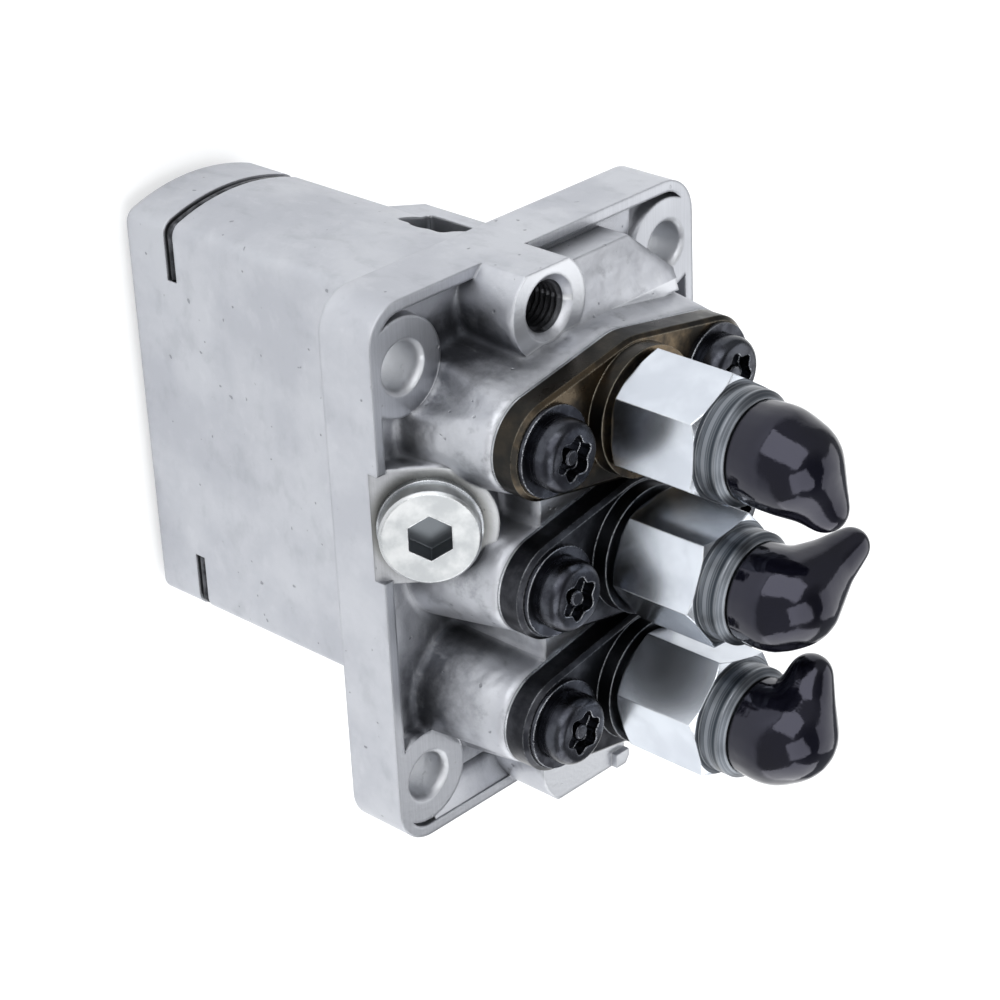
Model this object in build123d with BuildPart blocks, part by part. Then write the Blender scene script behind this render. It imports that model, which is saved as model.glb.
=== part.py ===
from build123d import *
from math import acos, atan2, cos, degrees, pi, radians, sin, sqrt, tan
import os

os.makedirs("parts", exist_ok=True)

# Three-cylinder flange-mounted diesel injection pump, in millimetres.
# Origin: centre of the flange's mounting face, on the axis of the middle cylinder.
# +X runs along the row of cylinders, +Z is the delivery direction, and the control
# rack lies on the +Y side. The flange hangs on the engine, tappets pointing down.

# Row of cylinders
pitch = 21.5
cylinder_count = 3
axes_x = [(i - (cylinder_count - 1) / 2) * pitch for i in range(cylinder_count)]
row_half = (cylinder_count - 1) / 2 * pitch

# Clearances
running_gap = 0.03
shank_gap = 0.05
screw_gap = 0.3
loose_gap = 0.3

# Mounting flange
flange_length = 84.8
flange_width = 66.6
flange_thickness = 9.75
flange_corner = 6.0
rim_width = 1.7
pocket_depth = 2.3
bolt_spacing_x = 65.0
bolt_spacing_y = 54.5
bolt_hole_radius = 3.6
bolt_pad_radius = 7.3
bolt_chamfer = 0.5

# Raised block that carries the barrels
platform_z = 22.9
element_screw_y = 17.2
pad_mid_radius = 10.4
pad_end_radius = 7.5
pad_draft = 9.0
core_half_width = 15.5

# Inlet port at one end of the block, sloping web beside it, blind pad at the other end
port_z = 18.0
port_offset = 14.9
port_y = -6.8
port_boss_radius = 7.4
port_bore_radius = 3.7
port_bore_depth = 10.5
port_chamfer = 1.1
port_spotface_radius = 5.2
port_drill_radius = 2.0
web_reach_y = 20.5
web_edge_y = 13.5
web_setback = 2.6
web_fall = 3.4
web_overlap = 2.0
blind_pad_y = -4.2
blind_pad_radius = 7.6
blind_pad_reach_y = 6.0
lug_height = 1.0
lug_length = 2.2
lug_width = 2.8

# Gallery that feeds the three barrels
gallery_y = -9.6
gallery_z = -4.2
gallery_radius = 2.0
gallery_end = 30.0
gallery_plug_length = 3.0

# Side plug on its 45 degree boss
plug_x = -pitch / 2 + 0.85
plug_tilt = 45.0
plug_seat_edge_z = 7.9
plug_boss_radius = 8.8
plug_boss_shift = 0.8
plug_spotface_radius = 8.3
plug_spotface_depth = 16.0
plug_axis_reach = 5.7
plug_head_radius = 7.1
plug_head_height = 3.0
plug_washer_radius = 7.4
plug_washer_thickness = 1.0
plug_shank_radius = 5.9
plug_shank_length = 9.0
plug_socket_af = 6.0
plug_socket_depth = 3.6
plug_drill_radius = 2.4

# Tappet housing below the flange
body_depth = 64.2
body_half_width = 13.6
body_end_wall = 4.4
body_corner = 2.4
rack_bulge_y = 16.4
rack_bulge_depth = 31.5
rack_bulge_half_length = 33.2
rack_bulge_edge = 2.4

# Bores of one cylinder
barrel_bore_radius = 8.8
barrel_bore_depth = 12.0
sleeve_chamber_radius = 8.2
spring_shoulder_z = -26.5
tappet_bore_radius = 9.5

# Control rack and toothed sleeves
teeth_per_pitch = 11
sleeve_tooth_count = 22
sleeve_sector_teeth = 13
pressure_angle = 20.0
tooth_share = 0.42
mesh_gap = 0.05
rack_z = -20.7
rack_radius = 3.5
rack_axis_y = 9.5
rack_start = -29.0
rack_end = 25.5
rack_travel = 5.0
sleeve_face_width = 9.0
sleeve_tube_radius = 6.0
sleeve_bore_radius = 5.03
sleeve_top_z = -12.2
sleeve_bottom_z = -39.0
sleeve_slot_top_z = -28.6
window_y0 = 6.6
window_y1 = 13.8
window_z0 = -25.5
window_z1 = -16.0
window_corner = 1.0
link_pin_x = -26.5
link_pin_radius = 1.2
link_pin_half = 4.3

# Flanged barrel
shim_thickness = 0.4
barrel_flange_thickness = 3.8
barrel_mid_radius = 10.5
barrel_end_radius = 7.4
barrel_edge = 0.6
hub_radius = 9.6
hub_height = 2.4
barrel_shank_bottom_z = -11.5
barrel_neck_bottom_z = -28.2
plunger_radius = 3.25
plunger_gap = 0.02
barrel_annulus_radius = 7.5
barrel_annulus_z0 = -7.0
barrel_annulus_z1 = 8.0
fill_port_z = -0.8
fill_port_radius = 1.5
oring_section = 0.75
oring_upper_z = 10.4
oring_lower_z = -9.3

# Delivery valve stack inside the barrel
valve_floor_z = 6.0
valve_seat_radius = 6.3
valve_seat_height = 6.0
valve_stem_radius = 2.6
valve_stem_length = 5.4
valve_head_radius = 3.9
valve_head_height = 2.4
valve_spigot_radius = 2.0
valve_spigot_height = 1.8
gasket_thickness = 1.2
gasket_radius = 6.8
gasket_bore_radius = 5.2
thread_radius = 7.0
holder_cavity_radius = 4.6
holder_cavity_top_z = 27.0
valve_spring_wire = 0.45
valve_spring_radius = 3.1
valve_spring_turns = 5

# Delivery valve holder
hex_gap = 0.8
hex_af = 17.0
hex_height = 14.5
hex_crown = 1.1
hex_turns = [-4.0, 37.2, 15.5]
collar_radius = 8.2
collar_height = 3.2
collar_edge = 0.9
collar_neck_radius = 7.3
nipple_radius = 5.9
nipple_top_z = 55.0
nipple_tip = 1.2
outlet_radius = 1.1
outlet_cone_radius = 3.2
outlet_cone_depth = 4.0

# Element screws with their two washers
screw_radius = 3.0
screw_head_radius = 5.2
screw_head_height = 2.9
screw_head_edge = 1.0
screw_length = 18.0
screw_socket_radius = 2.7
screw_socket_depth = 1.7
screw_pin_radius = 0.9
plain_washer_radius = 6.6
plain_washer_thickness = 0.7
spring_washer_radius = 5.0
spring_washer_thickness = 0.8
washer_gap = 0.2

# Plunger, spring and seats
plunger_top_z = -3.0
plunger_helix_depth = 0.8
plunger_helix_width = 2.2
vane_bottom_z = -38.2
vane_height = 2.5
vane_half_width = 1.2
plunger_neck_radius = 2.4
plunger_foot_radius = 4.2
plunger_foot_height = 1.5
foot_gap = 0.05
upper_seat_radius = 9.2
upper_seat_thickness = 1.6
spring_seat_bore_gap = 0.5
lower_seat_radius = 8.2
lower_seat_rim = 1.4
lower_seat_thickness = 1.8
spring_wire = 0.9
spring_radius = 7.25
spring_turns = 5

# Roller tappet
tappet_floor_z = -49.7
tappet_top_z = -41.7
tappet_bottom_z = -63.7
tappet_cup_radius = 8.6
roller_radius = 6.5
roller_half_width = 4.5
roller_side_gap = 0.2
roller_axis_z = -60.5
roller_top_gap = 0.7
roller_edge = 0.6
bush_radius = 4.0
roller_pin_radius = 3.0
roller_pin_half = 7.2
guide_pin_radius = 1.0
guide_pin_depth = 1.4
guide_slot_depth = 2.1

# Wire clips that hold the guide pins
clip_z = -54.6
clip_groove_width = 2.1
clip_groove_depth = 1.9
clip_wire = 0.85
clip_start_x = 23.8

# Soft transport caps; each tip is its offset from the cylinder's axis, height and radius
cap_mouth_z = 49.3
cap_mouth_radius = 7.2
cap_grip_gap = 0.15
cap_bulb_radius = 7.6
cap_bulb_z = 52.6
cap_neck_radius = 14.0
cap_tips = [(6.3, 1.9, 58.8, 3.6), (-5.4, 10.2, 56.9, 2.9), (-6.9, 4.6, 53.2, 2.9)]

# Values worked out from the ones above
body_bottom_z = -body_depth
body_end_radius = row_half + tappet_bore_radius + body_end_wall
flange_half_x = flange_length / 2
flange_half_y = flange_width / 2
pocket_z = flange_thickness - pocket_depth
barrel_flange_z = platform_z + shim_thickness
barrel_top_z = barrel_flange_z + barrel_flange_thickness
oring_groove_radius = barrel_bore_radius - 2 * (oring_section + shank_gap)
hub_top_z = barrel_top_z + hub_height
hex_bottom_z = hub_top_z + hex_gap
hex_top_z = hex_bottom_z + hex_height
valve_seat_top_z = valve_floor_z + valve_seat_height
holder_bottom_z = valve_seat_top_z + gasket_thickness
screw_head_z = barrel_top_z + plain_washer_thickness + spring_washer_thickness
tooth_pitch = pitch / teeth_per_pitch
module = tooth_pitch / pi
sleeve_pitch_radius = sleeve_tooth_count * module / 2
sleeve_tip_radius = sleeve_pitch_radius + module
sleeve_root_radius = sleeve_pitch_radius - 1.25 * module
rack_pitch_y = sleeve_pitch_radius + mesh_gap
port_x = -(row_half + port_offset)
web_x = -(row_half + pad_mid_radius)
web_edge_x = -(flange_half_x - web_setback)
trim_x = flange_half_x + web_overlap
head_tilt = radians(plug_tilt)
foot_top_z = tappet_floor_z + foot_gap + plunger_foot_height
lower_seat_z = foot_top_z + foot_gap
spring_bottom_z = lower_seat_z + lower_seat_thickness
spring_top_z = spring_shoulder_z - upper_seat_thickness


def finish(builder, name):
    builder.part.label = name
    export_step(builder.part, "parts/" + name + ".step")


def body_outline(inset):
    """Corner point, its arc and the end arc of the tappet housing, moved inwards."""
    end_radius = body_end_radius - inset
    half_width = body_half_width - inset
    corner = max(body_corner - inset, 0.6)
    centre_y = half_width - corner
    centre_x = sqrt((end_radius - corner) ** 2 - centre_y**2)
    angle = atan2(centre_y, centre_x)
    side = (centre_x, half_width)
    middle = (
        centre_x + corner * cos((angle + pi / 2) / 2),
        centre_y + corner * sin((angle + pi / 2) / 2),
    )
    tip = (end_radius * cos(angle), end_radius * sin(angle))
    return side, middle, tip, (end_radius, 0)


def plug_plane(distance):
    """Plane square to the side plug, a distance outwards along its axis from the seat."""
    origin = (
        plug_x,
        -flange_half_y + plug_axis_reach - distance * sin(head_tilt),
        plug_seat_edge_z + plug_axis_reach / tan(head_tilt) + distance * cos(head_tilt),
    )
    return Plane(origin=origin, x_dir=(1, 0, 0), z_dir=(0, -sin(head_tilt), cos(head_tilt)))


def drill_plane(start, end):
    direction = tuple(b - a for a, b in zip(start, end))
    return Plane(origin=start, z_dir=direction), sqrt(sum(d * d for d in direction))


# Pump housing: flange, block, ports, bores and tappet housing in one casting
column_points = [(x, y) for x in axes_x for y in (-element_screw_y, element_screw_y)]
bolt_points = [
    (sx * bolt_spacing_x / 2, sy * bolt_spacing_y / 2) for sx in (-1, 1) for sy in (-1, 1)
]
block_height = platform_z - pocket_z
port_height = port_z - pocket_z

with BuildPart() as pump_housing:
    with BuildSketch():
        RectangleRounded(flange_length, flange_width, flange_corner)
    extrude(amount=flange_thickness)
    with BuildSketch(Plane.XY.offset(flange_thickness)):
        RectangleRounded(
            flange_length - 2 * rim_width, flange_width - 2 * rim_width, flange_corner - rim_width
        )
        with Locations(*bolt_points):
            Circle(bolt_pad_radius, mode=Mode.SUBTRACT)
    extrude(amount=-pocket_depth, mode=Mode.SUBTRACT)

    # Rhombic seats of the barrels, drafted as cast
    for x in axes_x:
        with BuildSketch(Plane.XY.offset(platform_z)):
            with Locations((x, -element_screw_y), (x, element_screw_y)):
                Circle(pad_end_radius)
            with Locations((x, 0)):
                Circle(pad_mid_radius)
            make_hull()
        extrude(amount=-block_height, taper=-pad_draft)
    with BuildSketch(Plane.XY.offset(platform_z)):
        Rectangle(2 * row_half, 2 * core_half_width)
    extrude(amount=-block_height, taper=-pad_draft)

    # Web that slopes down from the block to the flange's edge, beside the inlet boss
    with BuildSketch(Plane.XY.offset(pocket_z)):
        with BuildLine():
            Polyline(
                (web_x + web_overlap, port_y),
                (web_x + web_overlap, web_reach_y),
                (web_x - web_overlap / 2, web_reach_y),
                (web_edge_x, web_edge_y),
                (web_edge_x, port_y),
                close=True,
            )
        make_face()
    extrude(amount=port_height)
    with BuildSketch(Plane.XZ.offset(-port_y)):
        with BuildLine():
            Polyline(
                (web_x, port_z),
                (web_edge_x, port_z - web_fall),
                (-flange_length, port_z - web_fall),
                (-flange_length, port_z + web_fall),
                (web_x, port_z + web_fall),
                close=True,
            )
        make_face()
    extrude(amount=port_y - web_reach_y, mode=Mode.SUBTRACT)
    with BuildSketch(Plane.XY.offset(port_z)):
        with Locations((port_x, port_y)):
            Circle(port_boss_radius)
        with Locations((port_x + port_offset / 2, port_y)):
            Rectangle(port_offset, port_boss_radius)
    extrude(amount=-port_height)

    # Blind pad at the other end, with a small cast lug on it
    with BuildSketch(Plane.XY.offset(port_z)):
        with Locations((-port_x, blind_pad_y)):
            Circle(blind_pad_radius)
        with BuildLine():
            Polyline(
                (row_half, blind_pad_y - blind_pad_radius / 2),
                (trim_x, blind_pad_y),
                (trim_x, blind_pad_reach_y),
                (row_half, blind_pad_reach_y),
                close=True,
            )
        make_face()
    extrude(amount=-port_height)
    with BuildSketch(Plane.XY.offset(port_z)):
        with BuildLine():
            Polyline(
                (flange_half_x - lug_length, blind_pad_reach_y - lug_width),
                (flange_half_x - lug_length, blind_pad_reach_y),
                (flange_half_x - lug_length / 2, blind_pad_reach_y),
                (trim_x, blind_pad_reach_y - lug_length),
                (trim_x, blind_pad_reach_y - lug_width),
                close=True,
            )
        make_face()
    extrude(amount=lug_height)

    # Boss of the side plug, a U in its own plane that runs out at the flange edge
    with BuildSketch(plug_plane(0)):
        with Locations((0, plug_boss_shift)):
            Circle(plug_boss_radius)
        with Locations((0, plug_boss_shift - plug_boss_radius)):
            Rectangle(2 * plug_boss_radius, 2 * plug_boss_radius)
    extrude(amount=-plug_spotface_depth)
    with BuildSketch(plug_plane(0)):
        Circle(plug_spotface_radius)
        with Locations((0, -plug_boss_radius)):
            Rectangle(2 * plug_spotface_radius, 2 * plug_boss_radius)
    extrude(amount=plug_spotface_depth, mode=Mode.SUBTRACT)

    # Everything above the mounting face ends at the flange's outline
    with BuildSketch():
        Rectangle(2 * flange_length, 2 * flange_width)
        RectangleRounded(flange_length, flange_width, flange_corner, mode=Mode.SUBTRACT)
    extrude(amount=platform_z + plug_spotface_depth, mode=Mode.SUBTRACT)
    with BuildSketch():
        Rectangle(2 * flange_length, 2 * flange_width)
    extrude(amount=-body_depth, mode=Mode.SUBTRACT)

    # Tappet housing: two flat sides between turned ends, and the rack's bulge
    side_point, corner_point, tip_point, end_point = body_outline(0)
    with BuildSketch(Plane.XY.offset(-body_depth)):
        with BuildLine() as outline:
            Line((-side_point[0], side_point[1]), side_point)
            ThreePointArc(side_point, corner_point, tip_point)
            ThreePointArc(tip_point, end_point, (tip_point[0], -tip_point[1]))
            ThreePointArc(
                (tip_point[0], -tip_point[1]),
                (corner_point[0], -corner_point[1]),
                (side_point[0], -side_point[1]),
            )
            Line((side_point[0], -side_point[1]), (-side_point[0], -side_point[1]))
            ThreePointArc(
                (-side_point[0], -side_point[1]),
                (-corner_point[0], -corner_point[1]),
                (-tip_point[0], -tip_point[1]),
            )
            ThreePointArc(
                (-tip_point[0], -tip_point[1]), (-end_point[0], 0), (-tip_point[0], tip_point[1])
            )
            ThreePointArc(
                (-tip_point[0], tip_point[1]),
                (-corner_point[0], corner_point[1]),
                (-side_point[0], side_point[1]),
            )
        make_face()
    extrude(amount=body_depth)
    with BuildSketch(Plane.YZ.offset(-rack_bulge_half_length)):
        with BuildLine():
            Polyline(
                (0, 0),
                (rack_bulge_y, 0),
                (rack_bulge_y, -rack_bulge_depth + rack_bulge_edge),
                (body_half_width - body_corner, -rack_bulge_depth - rack_bulge_edge),
                (0, -rack_bulge_depth - rack_bulge_edge),
                close=True,
            )
        make_face()
    extrude(amount=2 * rack_bulge_half_length)

    # Bores of the three cylinders
    for x in axes_x:
        with BuildSketch(Plane.XY.offset(platform_z)):
            with Locations((x, 0)):
                Circle(barrel_bore_radius)
        extrude(amount=-(platform_z + barrel_bore_depth), mode=Mode.SUBTRACT)
        with BuildSketch(Plane.XY.offset(-barrel_bore_depth)):
            with Locations((x, 0)):
                Circle(sleeve_chamber_radius)
        extrude(amount=spring_shoulder_z + barrel_bore_depth, mode=Mode.SUBTRACT)
        with BuildSketch(Plane.XY.offset(spring_shoulder_z)):
            with Locations((x, 0)):
                Circle(tappet_bore_radius)
        extrude(amount=body_bottom_z - spring_shoulder_z, mode=Mode.SUBTRACT)

    # Rack bore and the window that the governor link reaches it through
    with BuildSketch(Plane.YZ.offset(-body_end_radius)):
        with Locations((rack_axis_y, rack_z)):
            Circle(rack_radius + shank_gap)
    extrude(amount=body_end_radius + rack_end + rack_travel + loose_gap, mode=Mode.SUBTRACT)
    with BuildSketch(Plane.YZ.offset(-body_end_radius)):
        with Locations(((window_y0 + window_y1) / 2, (window_z0 + window_z1) / 2)):
            RectangleRounded(window_y1 - window_y0, window_z1 - window_z0, window_corner)
    window_depth = body_end_radius + link_pin_x + rack_travel + link_pin_radius + loose_gap
    extrude(amount=window_depth, mode=Mode.SUBTRACT)

    # Threaded holes for the element screws and the flange's bolt holes
    with BuildSketch(Plane.XY.offset(platform_z)):
        with Locations(*column_points):
            Circle(screw_radius + shank_gap)
    extrude(amount=screw_head_z - screw_length - platform_z - loose_gap, mode=Mode.SUBTRACT)
    with BuildSketch(Plane.XY.offset(flange_thickness)):
        with Locations(*bolt_points):
            Circle(bolt_pad_radius)
    extrude(amount=platform_z, mode=Mode.SUBTRACT)
    with BuildSketch(Plane.XY.offset(flange_thickness)):
        with Locations(*bolt_points):
            Circle(bolt_hole_radius)
    extrude(amount=-flange_thickness, mode=Mode.SUBTRACT)

    # Inlet port with its spotface, and the drilling from its floor to the gallery
    with BuildSketch(Plane.XY.offset(port_z)):
        with Locations((port_x, port_y)):
            Circle(port_spotface_radius)
    extrude(amount=platform_z - port_z, mode=Mode.SUBTRACT)
    with BuildSketch(Plane.XY.offset(port_z)):
        with Locations((port_x, port_y)):
            Circle(port_bore_radius)
    extrude(amount=-port_bore_depth, mode=Mode.SUBTRACT)
    port_floor = (port_x, port_y, port_z - port_bore_depth + port_drill_radius)
    drill, drill_length = drill_plane(port_floor, (-gallery_end, gallery_y, gallery_z))
    with BuildSketch(drill):
        Circle(port_drill_radius)
    extrude(amount=drill_length, mode=Mode.SUBTRACT)
    with BuildSketch(Plane.YZ.offset(-gallery_end)):
        with Locations((gallery_y, gallery_z)):
            Circle(gallery_radius)
    extrude(amount=gallery_end + body_end_radius, mode=Mode.SUBTRACT)

    # Side plug's thread and the drilling that joins it to the gallery
    with BuildSketch(plug_plane(0)):
        Circle(plug_shank_radius + shank_gap)
    extrude(amount=-(plug_shank_length + loose_gap), mode=Mode.SUBTRACT)
    with BuildSketch(plug_plane(0)):
        Circle(plug_drill_radius)
    plug_seat_origin = plug_plane(0).origin
    extrude(amount=-(gallery_y - plug_seat_origin.Y) / sin(head_tilt), mode=Mode.SUBTRACT)

    # Groove of the wire clips round both ends of the tappet housing
    for side in (-1, 1):
        with BuildSketch(Plane.XY.offset(clip_z - clip_groove_width / 2)):
            with Locations((side * (clip_start_x + body_end_radius / 2), 0)):
                Rectangle(body_end_radius, 2 * body_half_width + 2)
            groove_side, groove_corner, groove_tip, groove_end = body_outline(clip_groove_depth)
            with BuildLine():
                Line((0, groove_side[1]), (side * groove_side[0], groove_side[1]))
                ThreePointArc(
                    (side * groove_side[0], groove_side[1]),
                    (side * groove_corner[0], groove_corner[1]),
                    (side * groove_tip[0], groove_tip[1]),
                )
                ThreePointArc(
                    (side * groove_tip[0], groove_tip[1]),
                    (side * groove_end[0], 0),
                    (side * groove_tip[0], -groove_tip[1]),
                )
                ThreePointArc(
                    (side * groove_tip[0], -groove_tip[1]),
                    (side * groove_corner[0], -groove_corner[1]),
                    (side * groove_side[0], -groove_side[1]),
                )
                Line((side * groove_side[0], -groove_side[1]), (0, -groove_side[1]))
                Line((0, -groove_side[1]), (0, groove_side[1]))
            make_face(mode=Mode.SUBTRACT)
        extrude(amount=clip_groove_width, mode=Mode.SUBTRACT)

    # Holes of the tappet guide pins: through the ends, and from the rack side
    for side in (-1, 1):
        with BuildSketch(Plane.YZ.offset(side * row_half)):
            with Locations((0, clip_z)):
                Circle(guide_pin_radius + running_gap)
        extrude(amount=side * body_end_radius, mode=Mode.SUBTRACT)
    with BuildSketch(Plane.XZ):
        with Locations((0, clip_z)):
            Circle(guide_pin_radius + running_gap)
    extrude(amount=-2 * body_half_width, mode=Mode.SUBTRACT)

    bolt_rims = pump_housing.edges().filter_by(GeomType.CIRCLE)
    bolt_rims = bolt_rims.filter_by(lambda e: abs(e.radius - bolt_hole_radius) < 1e-6)
    chamfer(bolt_rims, bolt_chamfer)
    port_rims = pump_housing.edges().filter_by(GeomType.CIRCLE)
    port_rims = port_rims.filter_by(
        lambda e: abs(e.radius - port_bore_radius) < 1e-6 and e.center().Z > port_z - 0.1
    )
    chamfer(port_rims, port_chamfer)
finish(pump_housing, "pump_housing")

# Ball-sealed end of the gallery
with BuildPart() as gallery_plug:
    with BuildSketch(Plane.YZ.offset(gallery_end)):
        with Locations((gallery_y, gallery_z)):
            Circle(gallery_radius - running_gap)
    extrude(amount=gallery_plug_length)
finish(gallery_plug, "gallery_plug")

# Side plug with its hexagon socket, and the ring that seals it
with BuildPart() as plug_washer:
    with BuildSketch(plug_plane(0)):
        Circle(plug_washer_radius)
        Circle(plug_shank_radius + washer_gap, mode=Mode.SUBTRACT)
    extrude(amount=plug_washer_thickness)
finish(plug_washer, "plug_washer")

with BuildPart() as side_plug:
    with BuildSketch(plug_plane(plug_washer_thickness)):
        Circle(plug_head_radius)
    extrude(amount=plug_head_height)
    chamfer(side_plug.edges().filter_by(GeomType.CIRCLE).sort_by(Axis.Z)[-1], plug_head_height / 8)
    with BuildSketch(plug_plane(plug_washer_thickness)):
        Circle(plug_shank_radius)
    extrude(amount=-(plug_shank_length + plug_washer_thickness))
    with BuildSketch(plug_plane(plug_washer_thickness + plug_head_height)):
        RegularPolygon(plug_socket_af / 2, 6, major_radius=False)
    extrude(amount=-plug_socket_depth, mode=Mode.SUBTRACT)
finish(side_plug, "side_plug")

# Flanged barrels: rhombic flange, hub for the holder, shank and neck
for number, x in enumerate(axes_x, 1):
    with BuildPart() as plunger_barrel:
        with BuildSketch(Plane.XY.offset(barrel_flange_z)):
            with Locations((x, -element_screw_y), (x, element_screw_y)):
                Circle(barrel_end_radius)
            with Locations((x, 0)):
                Circle(barrel_mid_radius)
            make_hull()
        extrude(amount=barrel_flange_thickness)
        chamfer(plunger_barrel.edges().group_by(Axis.Z)[-1], barrel_edge)
        with BuildSketch(Plane.XZ):
            with BuildLine():
                Polyline(
                    (x, barrel_neck_bottom_z),
                    (x + sleeve_bore_radius - running_gap, barrel_neck_bottom_z),
                    (x + sleeve_bore_radius - running_gap, barrel_shank_bottom_z),
                    (x + barrel_bore_radius - shank_gap, barrel_shank_bottom_z),
                    (x + barrel_bore_radius - shank_gap, oring_lower_z - oring_section - shank_gap),
                    (x + oring_groove_radius, oring_lower_z - oring_section - shank_gap),
                    (x + oring_groove_radius, oring_lower_z + oring_section + shank_gap),
                    (x + barrel_bore_radius - shank_gap, oring_lower_z + oring_section + shank_gap),
                    (x + barrel_bore_radius - shank_gap, barrel_annulus_z0),
                    (x + barrel_annulus_radius, barrel_annulus_z0),
                    (x + barrel_annulus_radius, barrel_annulus_z1),
                    (x + barrel_bore_radius - shank_gap, barrel_annulus_z1),
                    (x + barrel_bore_radius - shank_gap, oring_upper_z - oring_section - shank_gap),
                    (x + oring_groove_radius, oring_upper_z - oring_section - shank_gap),
                    (x + oring_groove_radius, oring_upper_z + oring_section + shank_gap),
                    (x + barrel_bore_radius - shank_gap, oring_upper_z + oring_section + shank_gap),
                    (x + barrel_bore_radius - shank_gap, barrel_flange_z),
                    (x + hub_radius, barrel_flange_z),
                    (x + hub_radius, hub_top_z),
                    (x, hub_top_z),
                    close=True,
                )
            make_face()
        revolve(axis=Axis((x, 0, 0), (0, 0, 1)))
        with BuildSketch(Plane.XY.offset(barrel_top_z)):
            with Locations((x, -element_screw_y), (x, element_screw_y)):
                Circle(screw_radius + screw_gap)
        extrude(amount=-barrel_flange_thickness, mode=Mode.SUBTRACT)
        with BuildSketch(Plane.XY.offset(hub_top_z)):
            with Locations((x, 0)):
                Circle(thread_radius)
        extrude(amount=valve_seat_top_z - hub_top_z, mode=Mode.SUBTRACT)
        with BuildSketch(Plane.XY.offset(valve_seat_top_z)):
            with Locations((x, 0)):
                Circle(valve_seat_radius + shank_gap)
        extrude(amount=-valve_seat_height, mode=Mode.SUBTRACT)
        with BuildSketch(Plane.XY.offset(valve_floor_z)):
            with Locations((x, 0)):
                Circle(plunger_radius + plunger_gap)
        extrude(amount=barrel_neck_bottom_z - valve_floor_z, mode=Mode.SUBTRACT)
        with BuildSketch(Plane.XZ):
            with Locations((x, fill_port_z)):
                Circle(fill_port_radius)
        extrude(amount=barrel_bore_radius, both=True, mode=Mode.SUBTRACT)
    finish(plunger_barrel, f"plunger_barrel_{number}")

    with BuildPart() as valve_seat:
        with BuildSketch(Plane.XY.offset(valve_floor_z)):
            with Locations((x, 0)):
                Circle(valve_seat_radius)
                Circle(valve_stem_radius + running_gap, mode=Mode.SUBTRACT)
        extrude(amount=valve_seat_height)
    finish(valve_seat, f"delivery_valve_seat_{number}")

    with BuildPart() as delivery_valve:
        with BuildSketch(Plane.XZ):
            with BuildLine():
                Polyline(
                    (x, valve_seat_top_z - valve_stem_length),
                    (x + valve_stem_radius, valve_seat_top_z - valve_stem_length),
                    (x + valve_stem_radius, valve_seat_top_z + foot_gap),
                    (x + valve_head_radius, valve_seat_top_z + foot_gap),
                    (x + valve_head_radius, valve_seat_top_z + valve_head_height),
                    (x + valve_spigot_radius, valve_seat_top_z + valve_head_height),
                    (x + valve_spigot_radius, valve_seat_top_z + valve_head_height + valve_spigot_height),
                    (x, valve_seat_top_z + valve_head_height + valve_spigot_height),
                    close=True,
                )
            make_face()
        revolve(axis=Axis((x, 0, 0), (0, 0, 1)))
        flat_depth = valve_stem_radius / 2
        with BuildSketch(Plane.XY.offset(valve_seat_top_z - valve_stem_length)):
            with Locations((x, 0)):
                with PolarLocations(valve_stem_radius, 3):
                    Rectangle(flat_depth, 2 * valve_stem_radius)
        extrude(amount=valve_stem_length - valve_head_height / 2, mode=Mode.SUBTRACT)
    finish(delivery_valve, f"delivery_valve_{number}")

    # Holder: threaded shank, crowned hexagon, turned collar and nipple
    with BuildPart() as holder:
        with BuildSketch(Plane.XY.offset(hex_bottom_z)):
            with Locations((x, 0)):
                RegularPolygon(hex_af / 2, 6, major_radius=False, rotation=hex_turns[number - 1])
        extrude(amount=hex_height)
        hex_corner = hex_af / 2 / cos(pi / 6)
        crown_height = hex_crown * tan(radians(30))
        with BuildSketch(Plane.XZ):
            with BuildLine():
                Polyline(
                    (x, hex_bottom_z),
                    (x + hex_corner - hex_crown, hex_bottom_z),
                    (x + hex_corner, hex_bottom_z + crown_height),
                    (x + hex_corner, hex_top_z - crown_height),
                    (x + hex_corner - hex_crown, hex_top_z),
                    (x, hex_top_z),
                    close=True,
                )
            make_face()
        revolve(axis=Axis((x, 0, 0), (0, 0, 1)), mode=Mode.INTERSECT)
        with BuildSketch(Plane.XZ):
            with BuildLine():
                Polyline(
                    (x, holder_bottom_z),
                    (x + thread_radius - shank_gap, holder_bottom_z),
                    (x + thread_radius - shank_gap, hex_bottom_z),
                    (x + thread_radius - shank_gap, hex_top_z),
                    (x + collar_radius, hex_top_z),
                    (x + collar_radius, hex_top_z + collar_height),
                    (x + collar_neck_radius, hex_top_z + collar_height + collar_edge),
                    (x + nipple_radius, hex_top_z + collar_height + collar_edge),
                    (x + nipple_radius, nipple_top_z - nipple_tip),
                    (x + nipple_radius - nipple_tip, nipple_top_z),
                    (x, nipple_top_z),
                    close=True,
                )
            make_face()
        revolve(axis=Axis((x, 0, 0), (0, 0, 1)))
        with BuildSketch(Plane.XZ):
            with BuildLine():
                Polyline(
                    (x, holder_bottom_z),
                    (x + holder_cavity_radius, holder_bottom_z),
                    (x + holder_cavity_radius, holder_cavity_top_z),
                    (x + outlet_radius, holder_cavity_top_z),
                    (x + outlet_radius, nipple_top_z - outlet_cone_depth),
                    (x + outlet_cone_radius, nipple_top_z),
                    (x, nipple_top_z),
                    close=True,
                )
            make_face()
        revolve(axis=Axis((x, 0, 0), (0, 0, 1)), mode=Mode.SUBTRACT)
    finish(holder, f"delivery_valve_holder_{number}")

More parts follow.
